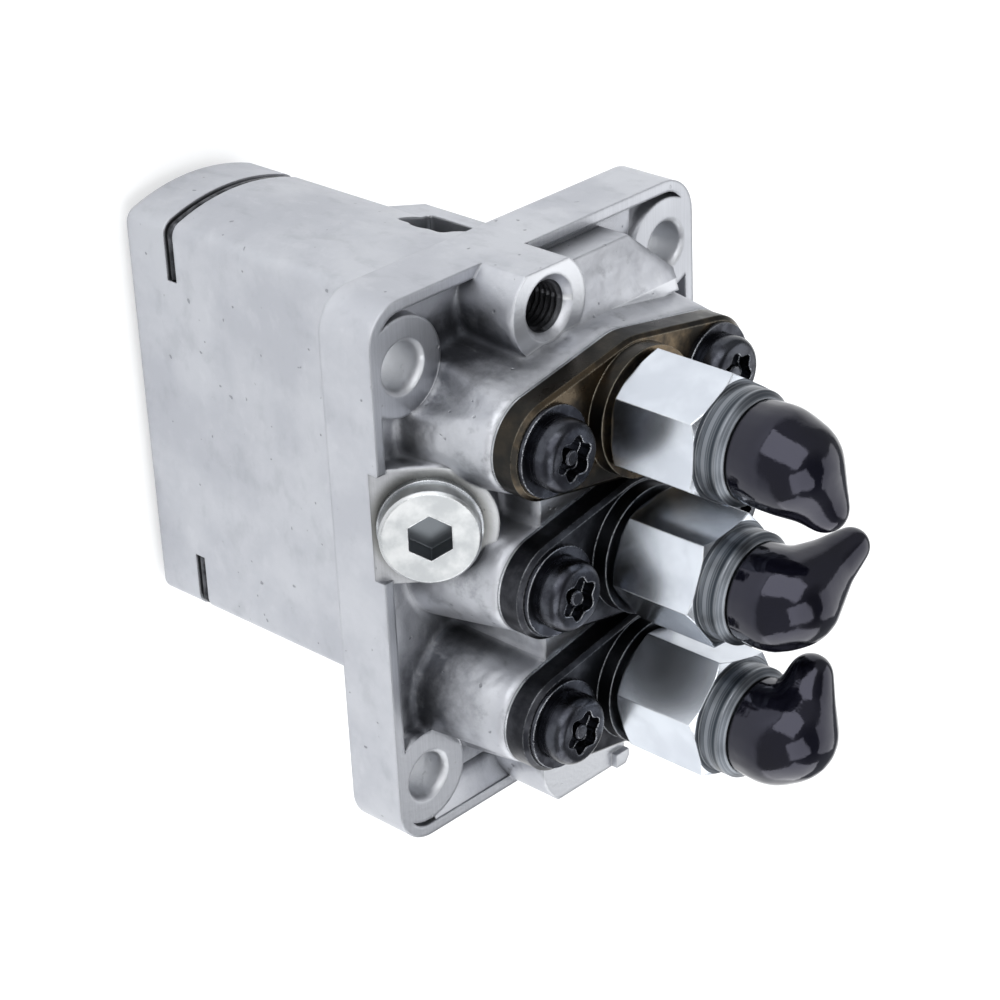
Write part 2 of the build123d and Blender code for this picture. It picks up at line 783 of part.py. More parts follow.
    valve_spring_bottom = valve_seat_top_z + valve_head_height
    valve_spring_length = holder_cavity_top_z - valve_spring_bottom - 2 * valve_spring_wire
    with BuildPart() as valve_spring:
        with BuildLine():
            coil = Helix(
                pitch=valve_spring_length / valve_spring_turns,
                height=valve_spring_length,
                radius=valve_spring_radius,
                center=(x, 0, valve_spring_bottom + valve_spring_wire),
            )
        with BuildSketch(coil ^ 0):
            RegularPolygon(valve_spring_wire, 6)
        sweep(is_frenet=True)
    finish(valve_spring, f"delivery_valve_spring_{number}")

    # Plunger: helix groove, metering vane, neck and foot
    with BuildPart() as plunger:
        with BuildSketch(Plane.XZ):
            with BuildLine():
                Polyline(
                    (x, foot_top_z - plunger_foot_height),
                    (x + plunger_foot_radius, foot_top_z - plunger_foot_height),
                    (x + plunger_foot_radius, foot_top_z),
                    (x + plunger_neck_radius, foot_top_z),
                    (x + plunger_neck_radius, vane_bottom_z),
                    (x + plunger_radius, vane_bottom_z),
                    (x + plunger_radius, plunger_top_z),
                    (x, plunger_top_z),
                    close=True,
                )
            make_face()
        revolve(axis=Axis((x, 0, 0), (0, 0, 1)))
        with BuildSketch(Plane.XY.offset(vane_bottom_z)):
            with Locations((x, 0)):
                Rectangle(2 * (sleeve_tube_radius - loose_gap / 2), 2 * vane_half_width)
        extrude(amount=vane_height)
        helix_reach = 3 * plunger_helix_width
        helix_plane = Plane(
            origin=(x, -plunger_radius + plunger_helix_depth, plunger_top_z - helix_reach),
            x_dir=(1, 0, 0.6),
            z_dir=(0, -1, 0),
        )
        with BuildSketch(helix_plane):
            Rectangle(4 * plunger_radius, plunger_helix_width)
        extrude(amount=plunger_radius, mode=Mode.SUBTRACT)
        with BuildSketch(Plane.XY.offset(plunger_top_z)):
            with Locations((x, -plunger_radius)):
                Rectangle(plunger_helix_depth, 2 * plunger_helix_depth)
        extrude(amount=-helix_reach, mode=Mode.SUBTRACT)
    finish(plunger, f"plunger_{number}")

    # Control sleeve: toothed sector above, slotted tube below
    with BuildPart() as control_sleeve:
        with BuildSketch(Plane.XY.offset(rack_z - sleeve_face_width / 2)):
            with Locations((x, 0)):
                Circle(sleeve_root_radius)
        extrude(amount=sleeve_face_width)
        base_radius = sleeve_pitch_radius * cos(radians(pressure_angle))
        pitch_half = tooth_share * tooth_pitch / (2 * sleeve_pitch_radius)
        pitch_roll = tan(radians(pressure_angle)) - radians(pressure_angle)
        tip_angle = acos(base_radius / sleeve_tip_radius)
        tip_half = pitch_half + pitch_roll - (tan(tip_angle) - tip_angle)
        root_half = pitch_half + pitch_roll
        for tooth in range(sleeve_sector_teeth):
            turn = pi / 2 + (tooth - (sleeve_sector_teeth - 1) / 2) * 2 * pi / sleeve_tooth_count
            flank = [
                (sleeve_root_radius - 0.4, root_half),
                (base_radius, root_half),
                (sleeve_pitch_radius, pitch_half),
                (sleeve_tip_radius, tip_half),
            ]
            left = [(x + r * cos(turn + h), r * sin(turn + h)) for r, h in flank]
            right = [(x + r * cos(turn - h), r * sin(turn - h)) for r, h in reversed(flank)]
            with BuildSketch(Plane.XY.offset(rack_z - sleeve_face_width / 2)):
                with BuildLine():
                    Polyline(*left, *right, close=True)
                make_face()
            extrude(amount=sleeve_face_width)
        with BuildSketch(Plane.XY.offset(sleeve_bottom_z)):
            with Locations((x, 0)):
                Circle(sleeve_tube_radius)
        extrude(amount=sleeve_top_z - sleeve_bottom_z)
        with BuildSketch(Plane.XY.offset(sleeve_bottom_z)):
            with Locations((x, 0)):
                Circle(sleeve_bore_radius)
        extrude(amount=sleeve_top_z - sleeve_bottom_z, mode=Mode.SUBTRACT)
        with BuildSketch(Plane.XY.offset(sleeve_bottom_z)):
            with Locations((x, 0)):
                Rectangle(4 * sleeve_tube_radius, 2 * (vane_half_width + running_gap))
        extrude(amount=sleeve_slot_top_z - sleeve_bottom_z, mode=Mode.SUBTRACT)
    finish(control_sleeve, f"control_sleeve_{number}")

    spring_height = spring_top_z - spring_bottom_z - 2 * spring_wire
    with BuildPart() as plunger_spring:
        with BuildLine():
            coil = Helix(
                pitch=spring_height / spring_turns,
                height=spring_height,
                radius=spring_radius,
                center=(x, 0, spring_bottom_z + spring_wire),
            )
        with BuildSketch(coil ^ 0):
            RegularPolygon(spring_wire, 8)
        sweep(is_frenet=True)
    finish(plunger_spring, f"plunger_spring_{number}")

    with BuildPart() as lower_spring_seat:
        with BuildSketch(Plane.XY.offset(tappet_floor_z)):
            with Locations((x, 0)):
                Circle(lower_seat_radius)
        extrude(amount=spring_bottom_z - tappet_floor_z)
        with BuildSketch(Plane.XY.offset(tappet_floor_z)):
            with Locations((x, 0)):
                Circle(lower_seat_radius - lower_seat_rim)
        extrude(amount=lower_seat_z - tappet_floor_z, mode=Mode.SUBTRACT)
        with BuildSketch(Plane.XY.offset(lower_seat_z)):
            with Locations((x, 0)):
                Circle(plunger_neck_radius + loose_gap)
            with Locations((x, -lower_seat_radius)):
                Rectangle(2 * (plunger_neck_radius + loose_gap), 2 * lower_seat_radius)
        extrude(amount=lower_seat_thickness, mode=Mode.SUBTRACT)
    finish(lower_spring_seat, f"lower_spring_seat_{number}")

    # Roller tappet: spring cup above, roller fork below, slot for its guide pin
    guide_turn = {1: 180.0, cylinder_count: 0.0}.get(number, 90.0)
    with BuildPart() as roller_tappet:
        with BuildSketch(Plane.XY.offset(tappet_bottom_z)):
            with Locations((x, 0)):
                Circle(tappet_bore_radius - running_gap)
        extrude(amount=tappet_top_z - tappet_bottom_z)
        with BuildSketch(Plane.XY.offset(tappet_floor_z)):
            with Locations((x, 0)):
                Circle(tappet_cup_radius)
        extrude(amount=tappet_top_z - tappet_floor_z, mode=Mode.SUBTRACT)
        fork_top_z = roller_axis_z + roller_radius + roller_top_gap
        with BuildSketch(Plane.XY.offset(tappet_bottom_z)):
            with Locations((x, 0)):
                Rectangle(2 * (roller_half_width + roller_side_gap), 2 * tappet_bore_radius)
        extrude(amount=fork_top_z - tappet_bottom_z, mode=Mode.SUBTRACT)
        with BuildSketch(Plane.YZ.offset(x)):
            with Locations((0, roller_axis_z)):
                Circle(roller_pin_radius + running_gap)
        extrude(amount=roller_pin_half + running_gap, both=True, mode=Mode.SUBTRACT)
        slot_plane = Plane(
            origin=(x, 0, tappet_bottom_z),
            x_dir=(cos(radians(guide_turn)), sin(radians(guide_turn)), 0),
            z_dir=(0, 0, 1),
        )
        slot_top_z = clip_z + guide_pin_radius + running_gap
        with BuildSketch(slot_plane):
            with Locations((tappet_bore_radius, 0)):
                Rectangle(2 * guide_slot_depth, 2 * (guide_pin_radius + running_gap))
        extrude(amount=slot_top_z - tappet_bottom_z, mode=Mode.SUBTRACT)
    finish(roller_tappet, f"roller_tappet_{number}")

    with BuildPart() as tappet_roller:
        with BuildSketch(Plane.YZ.offset(x - roller_half_width)):
            with Locations((0, roller_axis_z)):
                Circle(roller_radius)
        extrude(amount=2 * roller_half_width)
        chamfer(tappet_roller.edges().filter_by(GeomType.CIRCLE), roller_edge)
        with BuildSketch(Plane.YZ.offset(x - roller_half_width)):
            with Locations((0, roller_axis_z)):
                Circle(bush_radius)
        extrude(amount=2 * roller_half_width, mode=Mode.SUBTRACT)
    finish(tappet_roller, f"tappet_roller_{number}")

    with BuildPart() as roller_bush:
        with BuildSketch(Plane.YZ.offset(x - roller_half_width)):
            with Locations((0, roller_axis_z)):
                Circle(bush_radius - running_gap)
                Circle(roller_pin_radius + running_gap, mode=Mode.SUBTRACT)
        extrude(amount=2 * roller_half_width)
    finish(roller_bush, f"roller_bush_{number}")

    with BuildPart() as roller_pin:
        with BuildSketch(Plane.YZ.offset(x)):
            with Locations((0, roller_axis_z)):
                Circle(roller_pin_radius)
        extrude(amount=roller_pin_half, both=True)
    finish(roller_pin, f"roller_pin_{number}")

    # Soft cap: a dipped bulb over the nipple with a closed, leaning spout
    tip_x, tip_y, tip_z, tip_radius = cap_tips[number - 1]
    reach = (tip_x, tip_y, tip_z - cap_bulb_z)
    length = sqrt(sum(r * r for r in reach))
    spout = Plane(origin=(x, 0, cap_bulb_z), z_dir=reach)
    bulb_arm = cap_bulb_radius + cap_neck_radius
    tip_arm = tip_radius + cap_neck_radius
    neck_y = (length**2 + bulb_arm**2 - tip_arm**2) / (2 * length)
    neck_x = sqrt(bulb_arm**2 - neck_y**2)
    bulb_end = (neck_x * cap_bulb_radius / bulb_arm, neck_y * cap_bulb_radius / bulb_arm)
    tip_start = (neck_x * tip_radius / tip_arm, length + (neck_y - length) * tip_radius / tip_arm)
    waist = ((bulb_end[0] + tip_start[0]) / 2 - neck_x, (bulb_end[1] + tip_start[1]) / 2 - neck_y)
    waist_scale = cap_neck_radius / sqrt(waist[0] ** 2 + waist[1] ** 2)
    waist_point = (neck_x + waist[0] * waist_scale, neck_y + waist[1] * waist_scale)
    tip_turn = (atan2(tip_start[1] - length, tip_start[0]) + pi / 2) / 2
    with BuildPart() as delivery_cap:
        with BuildSketch(Plane(origin=spout.origin, x_dir=spout.x_dir, z_dir=-spout.y_dir)):
            with BuildLine():
                ThreePointArc((0, -cap_bulb_radius), (cap_bulb_radius, 0), bulb_end)
                ThreePointArc(bulb_end, waist_point, tip_start)
                ThreePointArc(
                    tip_start,
                    (tip_radius * cos(tip_turn), length + tip_radius * sin(tip_turn)),
                    (0, length + tip_radius),
                )
                Line((0, length + tip_radius), (0, -cap_bulb_radius))
            make_face()
        revolve(axis=Axis(spout.origin, spout.z_dir))
        with BuildSketch(Plane.XY.offset(cap_mouth_z)):
            with Locations((x, 0)):
                Circle(cap_mouth_radius)
        extrude(amount=cap_bulb_z - cap_mouth_z)
        with BuildSketch(Plane.XY.offset(cap_mouth_z - cap_bulb_radius)):
            with Locations((x, 0)):
                Circle(2 * cap_bulb_radius)
        extrude(amount=cap_bulb_radius, mode=Mode.SUBTRACT)
        with BuildSketch(Plane.XY.offset(cap_mouth_z)):
            with Locations((x, 0)):
                Circle(nipple_radius + cap_grip_gap)
        extrude(amount=nipple_top_z + cap_grip_gap - cap_mouth_z, mode=Mode.SUBTRACT)
    finish(delivery_cap, f"delivery_cap_{number}")

# Shims that set each barrel's height
with BuildPart() as flange_shims:
    for x in axes_x:
        with BuildSketch(Plane.XY.offset(platform_z)):
            with Locations((x, -element_screw_y), (x, element_screw_y)):
                Circle(barrel_end_radius)
            with Locations((x, 0)):
                Circle(barrel_mid_radius)
            make_hull()
            with Locations((x, -element_screw_y), (x, element_screw_y)):
                Circle(screw_radius + screw_gap, mode=Mode.SUBTRACT)
            with Locations((x, 0)):
                Circle(barrel_bore_radius, mode=Mode.SUBTRACT)
        extrude(amount=shim_thickness)
finish(flange_shims, "flange_shims")

with BuildPart() as barrel_o_rings:
    for x in axes_x:
        for ring_z in (oring_lower_z, oring_upper_z):
            with BuildSketch(Plane.XZ):
                with Locations((x + barrel_bore_radius - shank_gap - oring_section, ring_z)):
                    Circle(oring_section)
            revolve(axis=Axis((x, 0, 0), (0, 0, 1)))
finish(barrel_o_rings, "barrel_o_rings")

with BuildPart() as valve_gaskets:
    with BuildSketch(Plane.XY.offset(valve_seat_top_z)):
        with Locations(*[(x, 0) for x in axes_x]):
            Circle(gasket_radius)
            Circle(gasket_bore_radius, mode=Mode.SUBTRACT)
    extrude(amount=gasket_thickness)
finish(valve_gaskets, "valve_gaskets")

with BuildPart() as upper_spring_seats:
    with BuildSketch(Plane.XY.offset(spring_shoulder_z - upper_seat_thickness)):
        with Locations(*[(x, 0) for x in axes_x]):
            Circle(upper_seat_radius)
            Circle(sleeve_tube_radius + spring_seat_bore_gap, mode=Mode.SUBTRACT)
    extrude(amount=upper_seat_thickness)
finish(upper_spring_seats, "upper_spring_seats")

with BuildPart() as plain_washers:
    with BuildSketch(Plane.XY.offset(barrel_top_z)):
        with Locations(*column_points):
            Circle(plain_washer_radius)
            Circle(screw_radius + washer_gap, mode=Mode.SUBTRACT)
    extrude(amount=plain_washer_thickness)
finish(plain_washers, "plain_washers")

with BuildPart() as spring_washers:
    with BuildSketch(Plane.XY.offset(barrel_top_z + plain_washer_thickness)):
        with Locations(*column_points):
            Circle(spring_washer_radius)
            Circle(screw_radius + washer_gap, mode=Mode.SUBTRACT)
    extrude(amount=spring_washer_thickness)
finish(spring_washers, "spring_washers")

with BuildPart() as element_screws:
    with BuildSketch(Plane.XY.offset(screw_head_z)):
        with Locations(*column_points):
            Circle(screw_head_radius)
    extrude(amount=screw_head_height)
    fillet(element_screws.edges().group_by(Axis.Z)[-1], screw_head_edge)
    with BuildSketch(Plane.XY.offset(screw_head_z + screw_head_height)):
        with Locations(*column_points):
            RegularPolygon(screw_socket_radius, 6)
            Circle(screw_pin_radius, mode=Mode.SUBTRACT)
    extrude(amount=-screw_socket_depth, mode=Mode.SUBTRACT)
    with BuildSketch(Plane.XY.offset(screw_head_z)):
        with Locations(*column_points):
            Circle(screw_radius)
    extrude(amount=-screw_length)
finish(element_screws, "element_screws")

# Control rack: round bar with teeth on the side that faces the sleeves
with BuildPart() as control_rack:
    with BuildSketch(Plane.YZ.offset(rack_start)):
        with Locations((rack_axis_y, rack_z)):
            Circle(rack_radius)
    extrude(amount=rack_end - rack_start)
    gap_tip = (1 - tooth_share) * tooth_pitch / 2 + module * tan(radians(pressure_angle))
    gap_root = (1 - tooth_share) * tooth_pitch / 2 - 1.25 * module * tan(radians(pressure_angle))
    rack_root_y = rack_pitch_y + 1.25 * module
    rack_tip_y = rack_pitch_y - module
    rack_gaps = [
        k * tooth_pitch
        for k in range(-3 * teeth_per_pitch, 3 * teeth_per_pitch)
        if rack_start - gap_tip < k * tooth_pitch < rack_end + gap_tip
    ]
    with BuildSketch(Plane.XY.offset(rack_z - rack_radius)):
        for gap_x in rack_gaps:
            with BuildLine():
                Polyline(
                    (gap_x - gap_root, rack_root_y),
                    (gap_x + gap_root, rack_root_y),
                    (gap_x + gap_tip, rack_tip_y),
                    (gap_x - gap_tip, rack_tip_y),
                    close=True,
                )
            make_face()
        with BuildLine():
            Polyline(
                (rack_start, rack_tip_y),
                (rack_end, rack_tip_y),
                (rack_end, rack_axis_y - 2 * rack_radius),
                (rack_start, rack_axis_y - 2 * rack_radius),
                close=True,
            )
        make_face()
    extrude(amount=2 * rack_radius, mode=Mode.SUBTRACT)
    with BuildSketch(Plane.XY.offset(rack_z - rack_radius)):
        with Locations((link_pin_x, rack_axis_y)):
            Circle(link_pin_radius + running_gap)
    extrude(amount=2 * rack_radius, mode=Mode.SUBTRACT)
finish(control_rack, "control_rack")

with BuildPart() as rack_link_pin:
    with BuildSketch(Plane.XY.offset(rack_z)):
        with Locations((link_pin_x, rack_axis_y)):
            Circle(link_pin_radius)
    extrude(amount=link_pin_half, both=True)
finish(rack_link_pin, "rack_link_pin")

# Guide pins of the tappets, and the wire clips that keep the outer two in
clip_inset = clip_groove_depth - clip_wire - running_gap
with BuildPart() as tappet_guide_pins:
    pin_length = body_end_radius - clip_groove_depth - shank_gap - row_half
    pin_length = pin_length - (tappet_bore_radius - guide_pin_depth)
    for side in (-1, 1):
        with BuildSketch(Plane.YZ.offset(side * (row_half + tappet_bore_radius - guide_pin_depth))):
            with Locations((0, clip_z)):
                Circle(guide_pin_radius)
        extrude(amount=side * pin_length)
    with BuildSketch(Plane.XZ.offset(-(tappet_bore_radius - guide_pin_depth))):
        with Locations((0, clip_z)):
            Circle(guide_pin_radius)
    extrude(amount=-(body_half_width - tappet_bore_radius + guide_pin_depth - shank_gap))
finish(tappet_guide_pins, "tappet_guide_pins")

clip_side, clip_corner, clip_tip, clip_end = body_outline(clip_inset)
for side, name in ((-1, "retaining_clip_rack_end"), (1, "retaining_clip_far_end")):
    with BuildPart() as retaining_clip:
        with BuildLine(Plane.XY.offset(clip_z)):
            Line(
                (side * (clip_start_x + loose_gap), clip_side[1]), (side * clip_side[0], clip_side[1])
            )
            ThreePointArc(
                (side * clip_side[0], clip_side[1]),
                (side * clip_corner[0], clip_corner[1]),
                (side * clip_tip[0], clip_tip[1]),
            )
            ThreePointArc(
                (side * clip_tip[0], clip_tip[1]),
                (side * clip_end[0], 0),
                (side * clip_tip[0], -clip_tip[1]),
            )
            ThreePointArc(
                (side * clip_tip[0], -clip_tip[1]),
                (side * clip_corner[0], -clip_corner[1]),
                (side * clip_side[0], -clip_side[1]),
            )
            Line(
                (side * clip_side[0], -clip_side[1]),
                (side * (clip_start_x + loose_gap), -clip_side[1]),
            )
        with BuildSketch(Plane.YZ.offset(side * (clip_start_x + loose_gap))):
            with Locations((clip_side[1], clip_z)):
                Circle(clip_wire)
        sweep()
    finish(retaining_clip, name)
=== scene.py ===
from math import cos, pi, radians, sin

import bmesh
import bpy
from mathutils import Matrix, Vector


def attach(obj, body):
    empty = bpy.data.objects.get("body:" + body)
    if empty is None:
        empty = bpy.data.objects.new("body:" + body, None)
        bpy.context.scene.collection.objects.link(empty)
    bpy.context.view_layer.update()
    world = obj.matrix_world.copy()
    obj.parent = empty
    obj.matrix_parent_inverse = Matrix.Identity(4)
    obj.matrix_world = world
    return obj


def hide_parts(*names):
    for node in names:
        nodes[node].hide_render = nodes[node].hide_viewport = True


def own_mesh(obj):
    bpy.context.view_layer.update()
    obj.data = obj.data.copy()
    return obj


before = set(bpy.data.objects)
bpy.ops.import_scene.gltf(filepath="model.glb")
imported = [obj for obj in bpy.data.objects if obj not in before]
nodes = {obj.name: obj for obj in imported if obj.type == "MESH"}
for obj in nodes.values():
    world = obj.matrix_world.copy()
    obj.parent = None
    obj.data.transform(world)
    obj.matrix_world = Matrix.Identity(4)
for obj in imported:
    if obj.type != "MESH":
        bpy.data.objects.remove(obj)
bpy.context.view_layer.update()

# The origin is on the middle cylinder's axis, in the plane of the flange's seat: x runs along
# the row of cylinders and z up through them. Millimetres, apart from FLOOR_Z in metres.
MM = 0.001
PITCH = 21.5
CYLINDERS = (-PITCH, 0.0, PITCH)
PORT = (-36.4, -6.8)
PORT_BORE = 3.7
PLUG_AXIS = (0, -0.7071, 0.7071)
PLUG_SEAT = (-9.9, -27.6, 13.6)
PLUG_TOP = 4.0
FLOOR_Z = -0.0672


def srgb(code):
    """Linear colour with alpha from a hex code such as #c0c4c8."""
    channels = [int(code[i : i + 2], 16) / 255 for i in (1, 3, 5)]
    return [c / 12.92 if c <= 0.04045 else ((c + 0.055) / 1.055) ** 2.4 for c in channels] + [1]


def add(tree, kind, inputs=None, **settings):
    """Adds a node with its settings; every input takes a value or a link from a socket."""
    made = tree.nodes.new(kind)
    for name, value in settings.items():
        setattr(made, name, value)
    for key, value in (inputs or {}).items():
        if isinstance(value, bpy.types.NodeSocket):
            tree.links.new(value, made.inputs[key])
        else:
            made.inputs[key].default_value = value
    return made


def surface(
    name, light, dark, patch, roughness, grain, depth, metallic=1.0, edge=None, round_edge=0.3
):
    """Material with cloudy patches, a fine grain, rounded edges and, if given, worn ones.

    patch, grain, depth and round_edge are in millimetres, roughness is a pair.
    """
    material = bpy.data.materials.new(name)
    material.use_nodes = True
    tree = material.node_tree
    tree.nodes.clear()
    place = add(tree, "ShaderNodeTexCoord")
    cloud = add(
        tree,
        "ShaderNodeTexNoise",
        {"Vector": place.outputs["Object"], "Scale": 1000 / patch, "Detail": 5.0, "Roughness": 0.6},
    )
    share = add(
        tree,
        "ShaderNodeMapRange",
        {0: cloud.outputs[0], 1: 0.36, 2: 0.64},
        interpolation_type="SMOOTHSTEP",
    ).outputs[0]
    colour = add(
        tree, "ShaderNodeMix", {0: share, 6: srgb(dark), 7: srgb(light)}, data_type="RGBA"
    ).outputs[2]
    rough = add(
        tree,
        "ShaderNodeMapRange",
        {0: cloud.outputs[0], 1: 0.36, 2: 0.64, 3: roughness[1], 4: roughness[0]},
        interpolation_type="SMOOTHSTEP",
    ).outputs[0]
    fine = add(
        tree,
        "ShaderNodeTexNoise",
        {
            "Vector": place.outputs["Object"],
            "Scale": 1000 / grain,
            "Detail": 3.0,
            "Roughness": 0.55,
        },
    )
    rounded = add(tree, "ShaderNodeBevel", {"Radius": round_edge * MM}, samples=4)
    if edge:
        true_normal = add(tree, "ShaderNodeNewGeometry").outputs["Normal"]
        likeness = add(
            tree,
            "ShaderNodeVectorMath",
            {0: rounded.outputs[0], 1: true_normal},
            operation="DOT_PRODUCT",
        ).outputs["Value"]
        sharpness = add(
            tree, "ShaderNodeMath", {0: 1.0, 1: likeness}, operation="SUBTRACT"
        ).outputs[0]
        worn = add(
            tree,
            "ShaderNodeMapRange",
            {0: sharpness, 1: 0.015, 2: 0.16},
            interpolation_type="SMOOTHSTEP",
        ).outputs[0]
        patchy = add(
            tree,
            "ShaderNodeMapRange",
            {0: fine.outputs[0], 1: 0.3, 2: 0.55},
            interpolation_type="SMOOTHSTEP",
        ).outputs[0]
        worn = add(tree, "ShaderNodeMath", {0: worn, 1: patchy}, operation="MULTIPLY").outputs[0]
        colour = add(
            tree, "ShaderNodeMix", {0: worn, 6: colour, 7: srgb(edge)}, data_type="RGBA"
        ).outputs[2]
    bump = add(
        tree,
        "ShaderNodeBump",
        {
            "Strength": 1.0,
            "Distance": depth * MM,
            "Height": fine.outputs[0],
            "Normal": rounded.outputs[0],
        },
    )
    shader = add(
        tree,
        "ShaderNodeBsdfPrincipled",
        {"Base Color": colour, "Roughness": rough, "Normal": bump.outputs[0], "Metallic": metallic},
    )
    add(tree, "ShaderNodeOutputMaterial", {"Surface": shader.outputs[0]})
    return {
        "material": material,
        "tree": tree,
        "place": place,
        "fine": fine.outputs[0],
        "colour": colour,
        "rough": rough,
        "bump": bump,
        "rounded": rounded,
        "shader": shader,
    }


# Die-cast aluminium, left as it came from the mould: pale, matt, faintly cloudy grey with soft
# corners, sooty and uneven in its pockets, which are also darkened by painted shade, smooth and
# brighter where a cutter has been over it.
# Sizes in millimetres, pairs are where something starts and ends.
POCKET_END_X = (36.0, 40.0)
POCKET_END_Y = (28.5, 31.5)
RIM_TOP_Z = 9.6
FRONT_Z = 1.0
CAST_CORNER = 2.3
# Painted shadows: centres and reaches in millimetres of the dark spots painted in the hollows
PAINTED_SHADE_SPOTS = [((-25.0, -13.0, 5.0), 16.0), ((22.0, -20.0, 5.0), 14.0)]
SHADE_SPOT_CORE = 11.0
SHADE_SPOT_EDGE = 2.0
SHADE_SPOT_RAGGED = 9.0
SOOT_CLOUD = 4.0
NICK = 1.4
SMEAR = (9.0, 3.5, 6.0)
CUTTER_STREAK = (50 / 3, 0.25, 0.25)
FRESH_Z = (11.0, 16.0)
PLUG_SHADOW_RING = (7.0, 9.6)
BOLT_X = 32.5
BOLT_Y = 27.25
BOLT_HOLE = (4.05, 4.25)
BOLT_SHADE_FADE = (9.0, 13.0)
SHADE_REACH = 6.0
PORT_SHADE_MIDDLE_Z = 12.0
PORT_SHADE_HALF = 5.2
FLOW_MARK = 5.0
LUMP = 4.0
casting = surface(
    "cast_aluminium", "#b9bbc0", "#b0b2b8", 16.0, (0.42, 0.5), 0.6, 0.03, round_edge=0.6
)
tree = casting["tree"]
object_place = casting["place"].outputs["Object"]
object_normal = casting["place"].outputs["Normal"]
split_place = add(tree, "ShaderNodeSeparateXYZ", {0: object_place})
split_normal = add(tree, "ShaderNodeSeparateXYZ", {0: object_normal})
height = split_place.outputs["Z"]
across = add(tree, "ShaderNodeMath", {0: split_place.outputs["X"]}, operation="ABSOLUTE").outputs[0]
aside = add(tree, "ShaderNodeMath", {0: split_place.outputs["Y"]}, operation="ABSOLUTE").outputs[0]

# Cut faces: everything that faces straight up above the rim, the plug's seat and the base
facing_up = add(
    tree, "ShaderNodeMath", {0: split_normal.outputs["Z"], 1: 0.995}, operation="GREATER_THAN"
).outputs[0]
above_rim = add(
    tree, "ShaderNodeMath", {0: height, 1: RIM_TOP_Z * MM}, operation="GREATER_THAN"
).outputs[0]
cut_top = add(tree, "ShaderNodeMath", {0: facing_up, 1: above_rim}, operation="MULTIPLY").outputs[0]
plug_facing = add(
    tree, "ShaderNodeVectorMath", {0: object_normal, 1: PLUG_AXIS}, operation="DOT_PRODUCT"
).outputs["Value"]
cut_plug = add(
    tree, "ShaderNodeMath", {0: plug_facing, 1: 0.998}, operation="GREATER_THAN"
).outputs[0]
cut_base = add(
    tree, "ShaderNodeMath", {0: split_normal.outputs["Z"], 1: -0.99}, operation="LESS_THAN"
).outputs[0]
cut_aside = add(tree, "ShaderNodeMath", {0: cut_plug, 1: cut_base}, operation="MAXIMUM").outputs[0]
cut = add(tree, "ShaderNodeMath", {0: cut_top, 1: cut_aside}, operation="MAXIMUM").outputs[0]
uncut = add(tree, "ShaderNodeMath", {0: 1.0, 1: cut}, operation="SUBTRACT").outputs[0]

# Rough cast skin: what is inside the flange's pocket and isn't cut
within_x = add(
    tree,
    "ShaderNodeMapRange",
    {0: across, 1: POCKET_END_X[0] * MM, 2: POCKET_END_X[1] * MM, 3: 1.0, 4: 0.0},
    interpolation_type="SMOOTHSTEP",
).outputs[0]
within_y = add(
    tree,
    "ShaderNodeMapRange",
    {0: aside, 1: POCKET_END_Y[0] * MM, 2: POCKET_END_Y[1] * MM, 3: 1.0, 4: 0.0},
    interpolation_type="SMOOTHSTEP",
).outputs[0]
inside = add(tree, "ShaderNodeMath", {0: within_x, 1: within_y}, operation="MULTIPLY").outputs[0]
in_front = add(
    tree, "ShaderNodeMath", {0: height, 1: FRONT_Z * MM}, operation="GREATER_THAN"
).outputs[0]
on_front = add(tree, "ShaderNodeMath", {0: in_front, 1: inside}, operation="MULTIPLY").outputs[0]
rough_cast = add(tree, "ShaderNodeMath", {0: on_front, 1: uncut}, operation="MULTIPLY").outputs[0]

# Cast corners are rounded far more than cut ones
soft_corners = add(tree, "ShaderNodeBevel", {"Radius": CAST_CORNER * MM}, samples=6).outputs[0]
corners = add(
    tree,
    "ShaderNodeMix",
    {0: rough_cast, 4: casting["rounded"].outputs[0], 5: soft_corners},
    data_type="VECTOR",
).outputs[1]
tree.links.new(corners, casting["bump"].inputs["Normal"])

# Painted shadows in the pocket's hollows, with ragged edges, and soot and mould wash in clouds
# about 4 mm across
cloud = add(
    tree,
    "ShaderNodeTexNoise",
    {"Vector": object_place, "Scale": 1000 / SOOT_CLOUD, "Detail": 6.0, "Roughness": 0.62},
).outputs[0]
soot_and_shade = add(
    tree,
    "ShaderNodeMapRange",
    {0: cloud, 1: 0.5, 2: 0.72, 3: 0.0, 4: 0.45},
    interpolation_type="SMOOTHSTEP",
).outputs[0]
for place, reach in PAINTED_SHADE_SPOTS:
    from_shade_spot = add(
        tree,
        "ShaderNodeVectorMath",
        {0: object_place, 1: [c * MM for c in place]},
        operation="DISTANCE",
    ).outputs["Value"]
    ragged = add(
        tree,
        "ShaderNodeMath",
        {0: cloud, 1: -SHADE_SPOT_RAGGED * MM, 2: from_shade_spot},
        operation="MULTIPLY_ADD",
    ).outputs[0]
    hollow = add(
        tree,
        "ShaderNodeMapRange",
        {0: ragged, 1: (reach - SHADE_SPOT_CORE) * MM, 2: (reach - SHADE_SPOT_EDGE) * MM, 3: 0.95, 4: 0.0},
        interpolation_type="SMOOTHSTEP",
    ).outputs[0]
    soot_and_shade = add(tree, "ShaderNodeMath", {0: soot_and_shade, 1: hollow}, operation="MAXIMUM").outputs[0]
soot_and_shade = add(tree, "ShaderNodeMath", {0: soot_and_shade, 1: rough_cast}, operation="MULTIPLY").outputs[0]
skin = add(
    tree, "ShaderNodeMix", {0: soot_and_shade, 6: casting["colour"], 7: srgb("#4b4d53")}, data_type="RGBA"
).outputs[2]

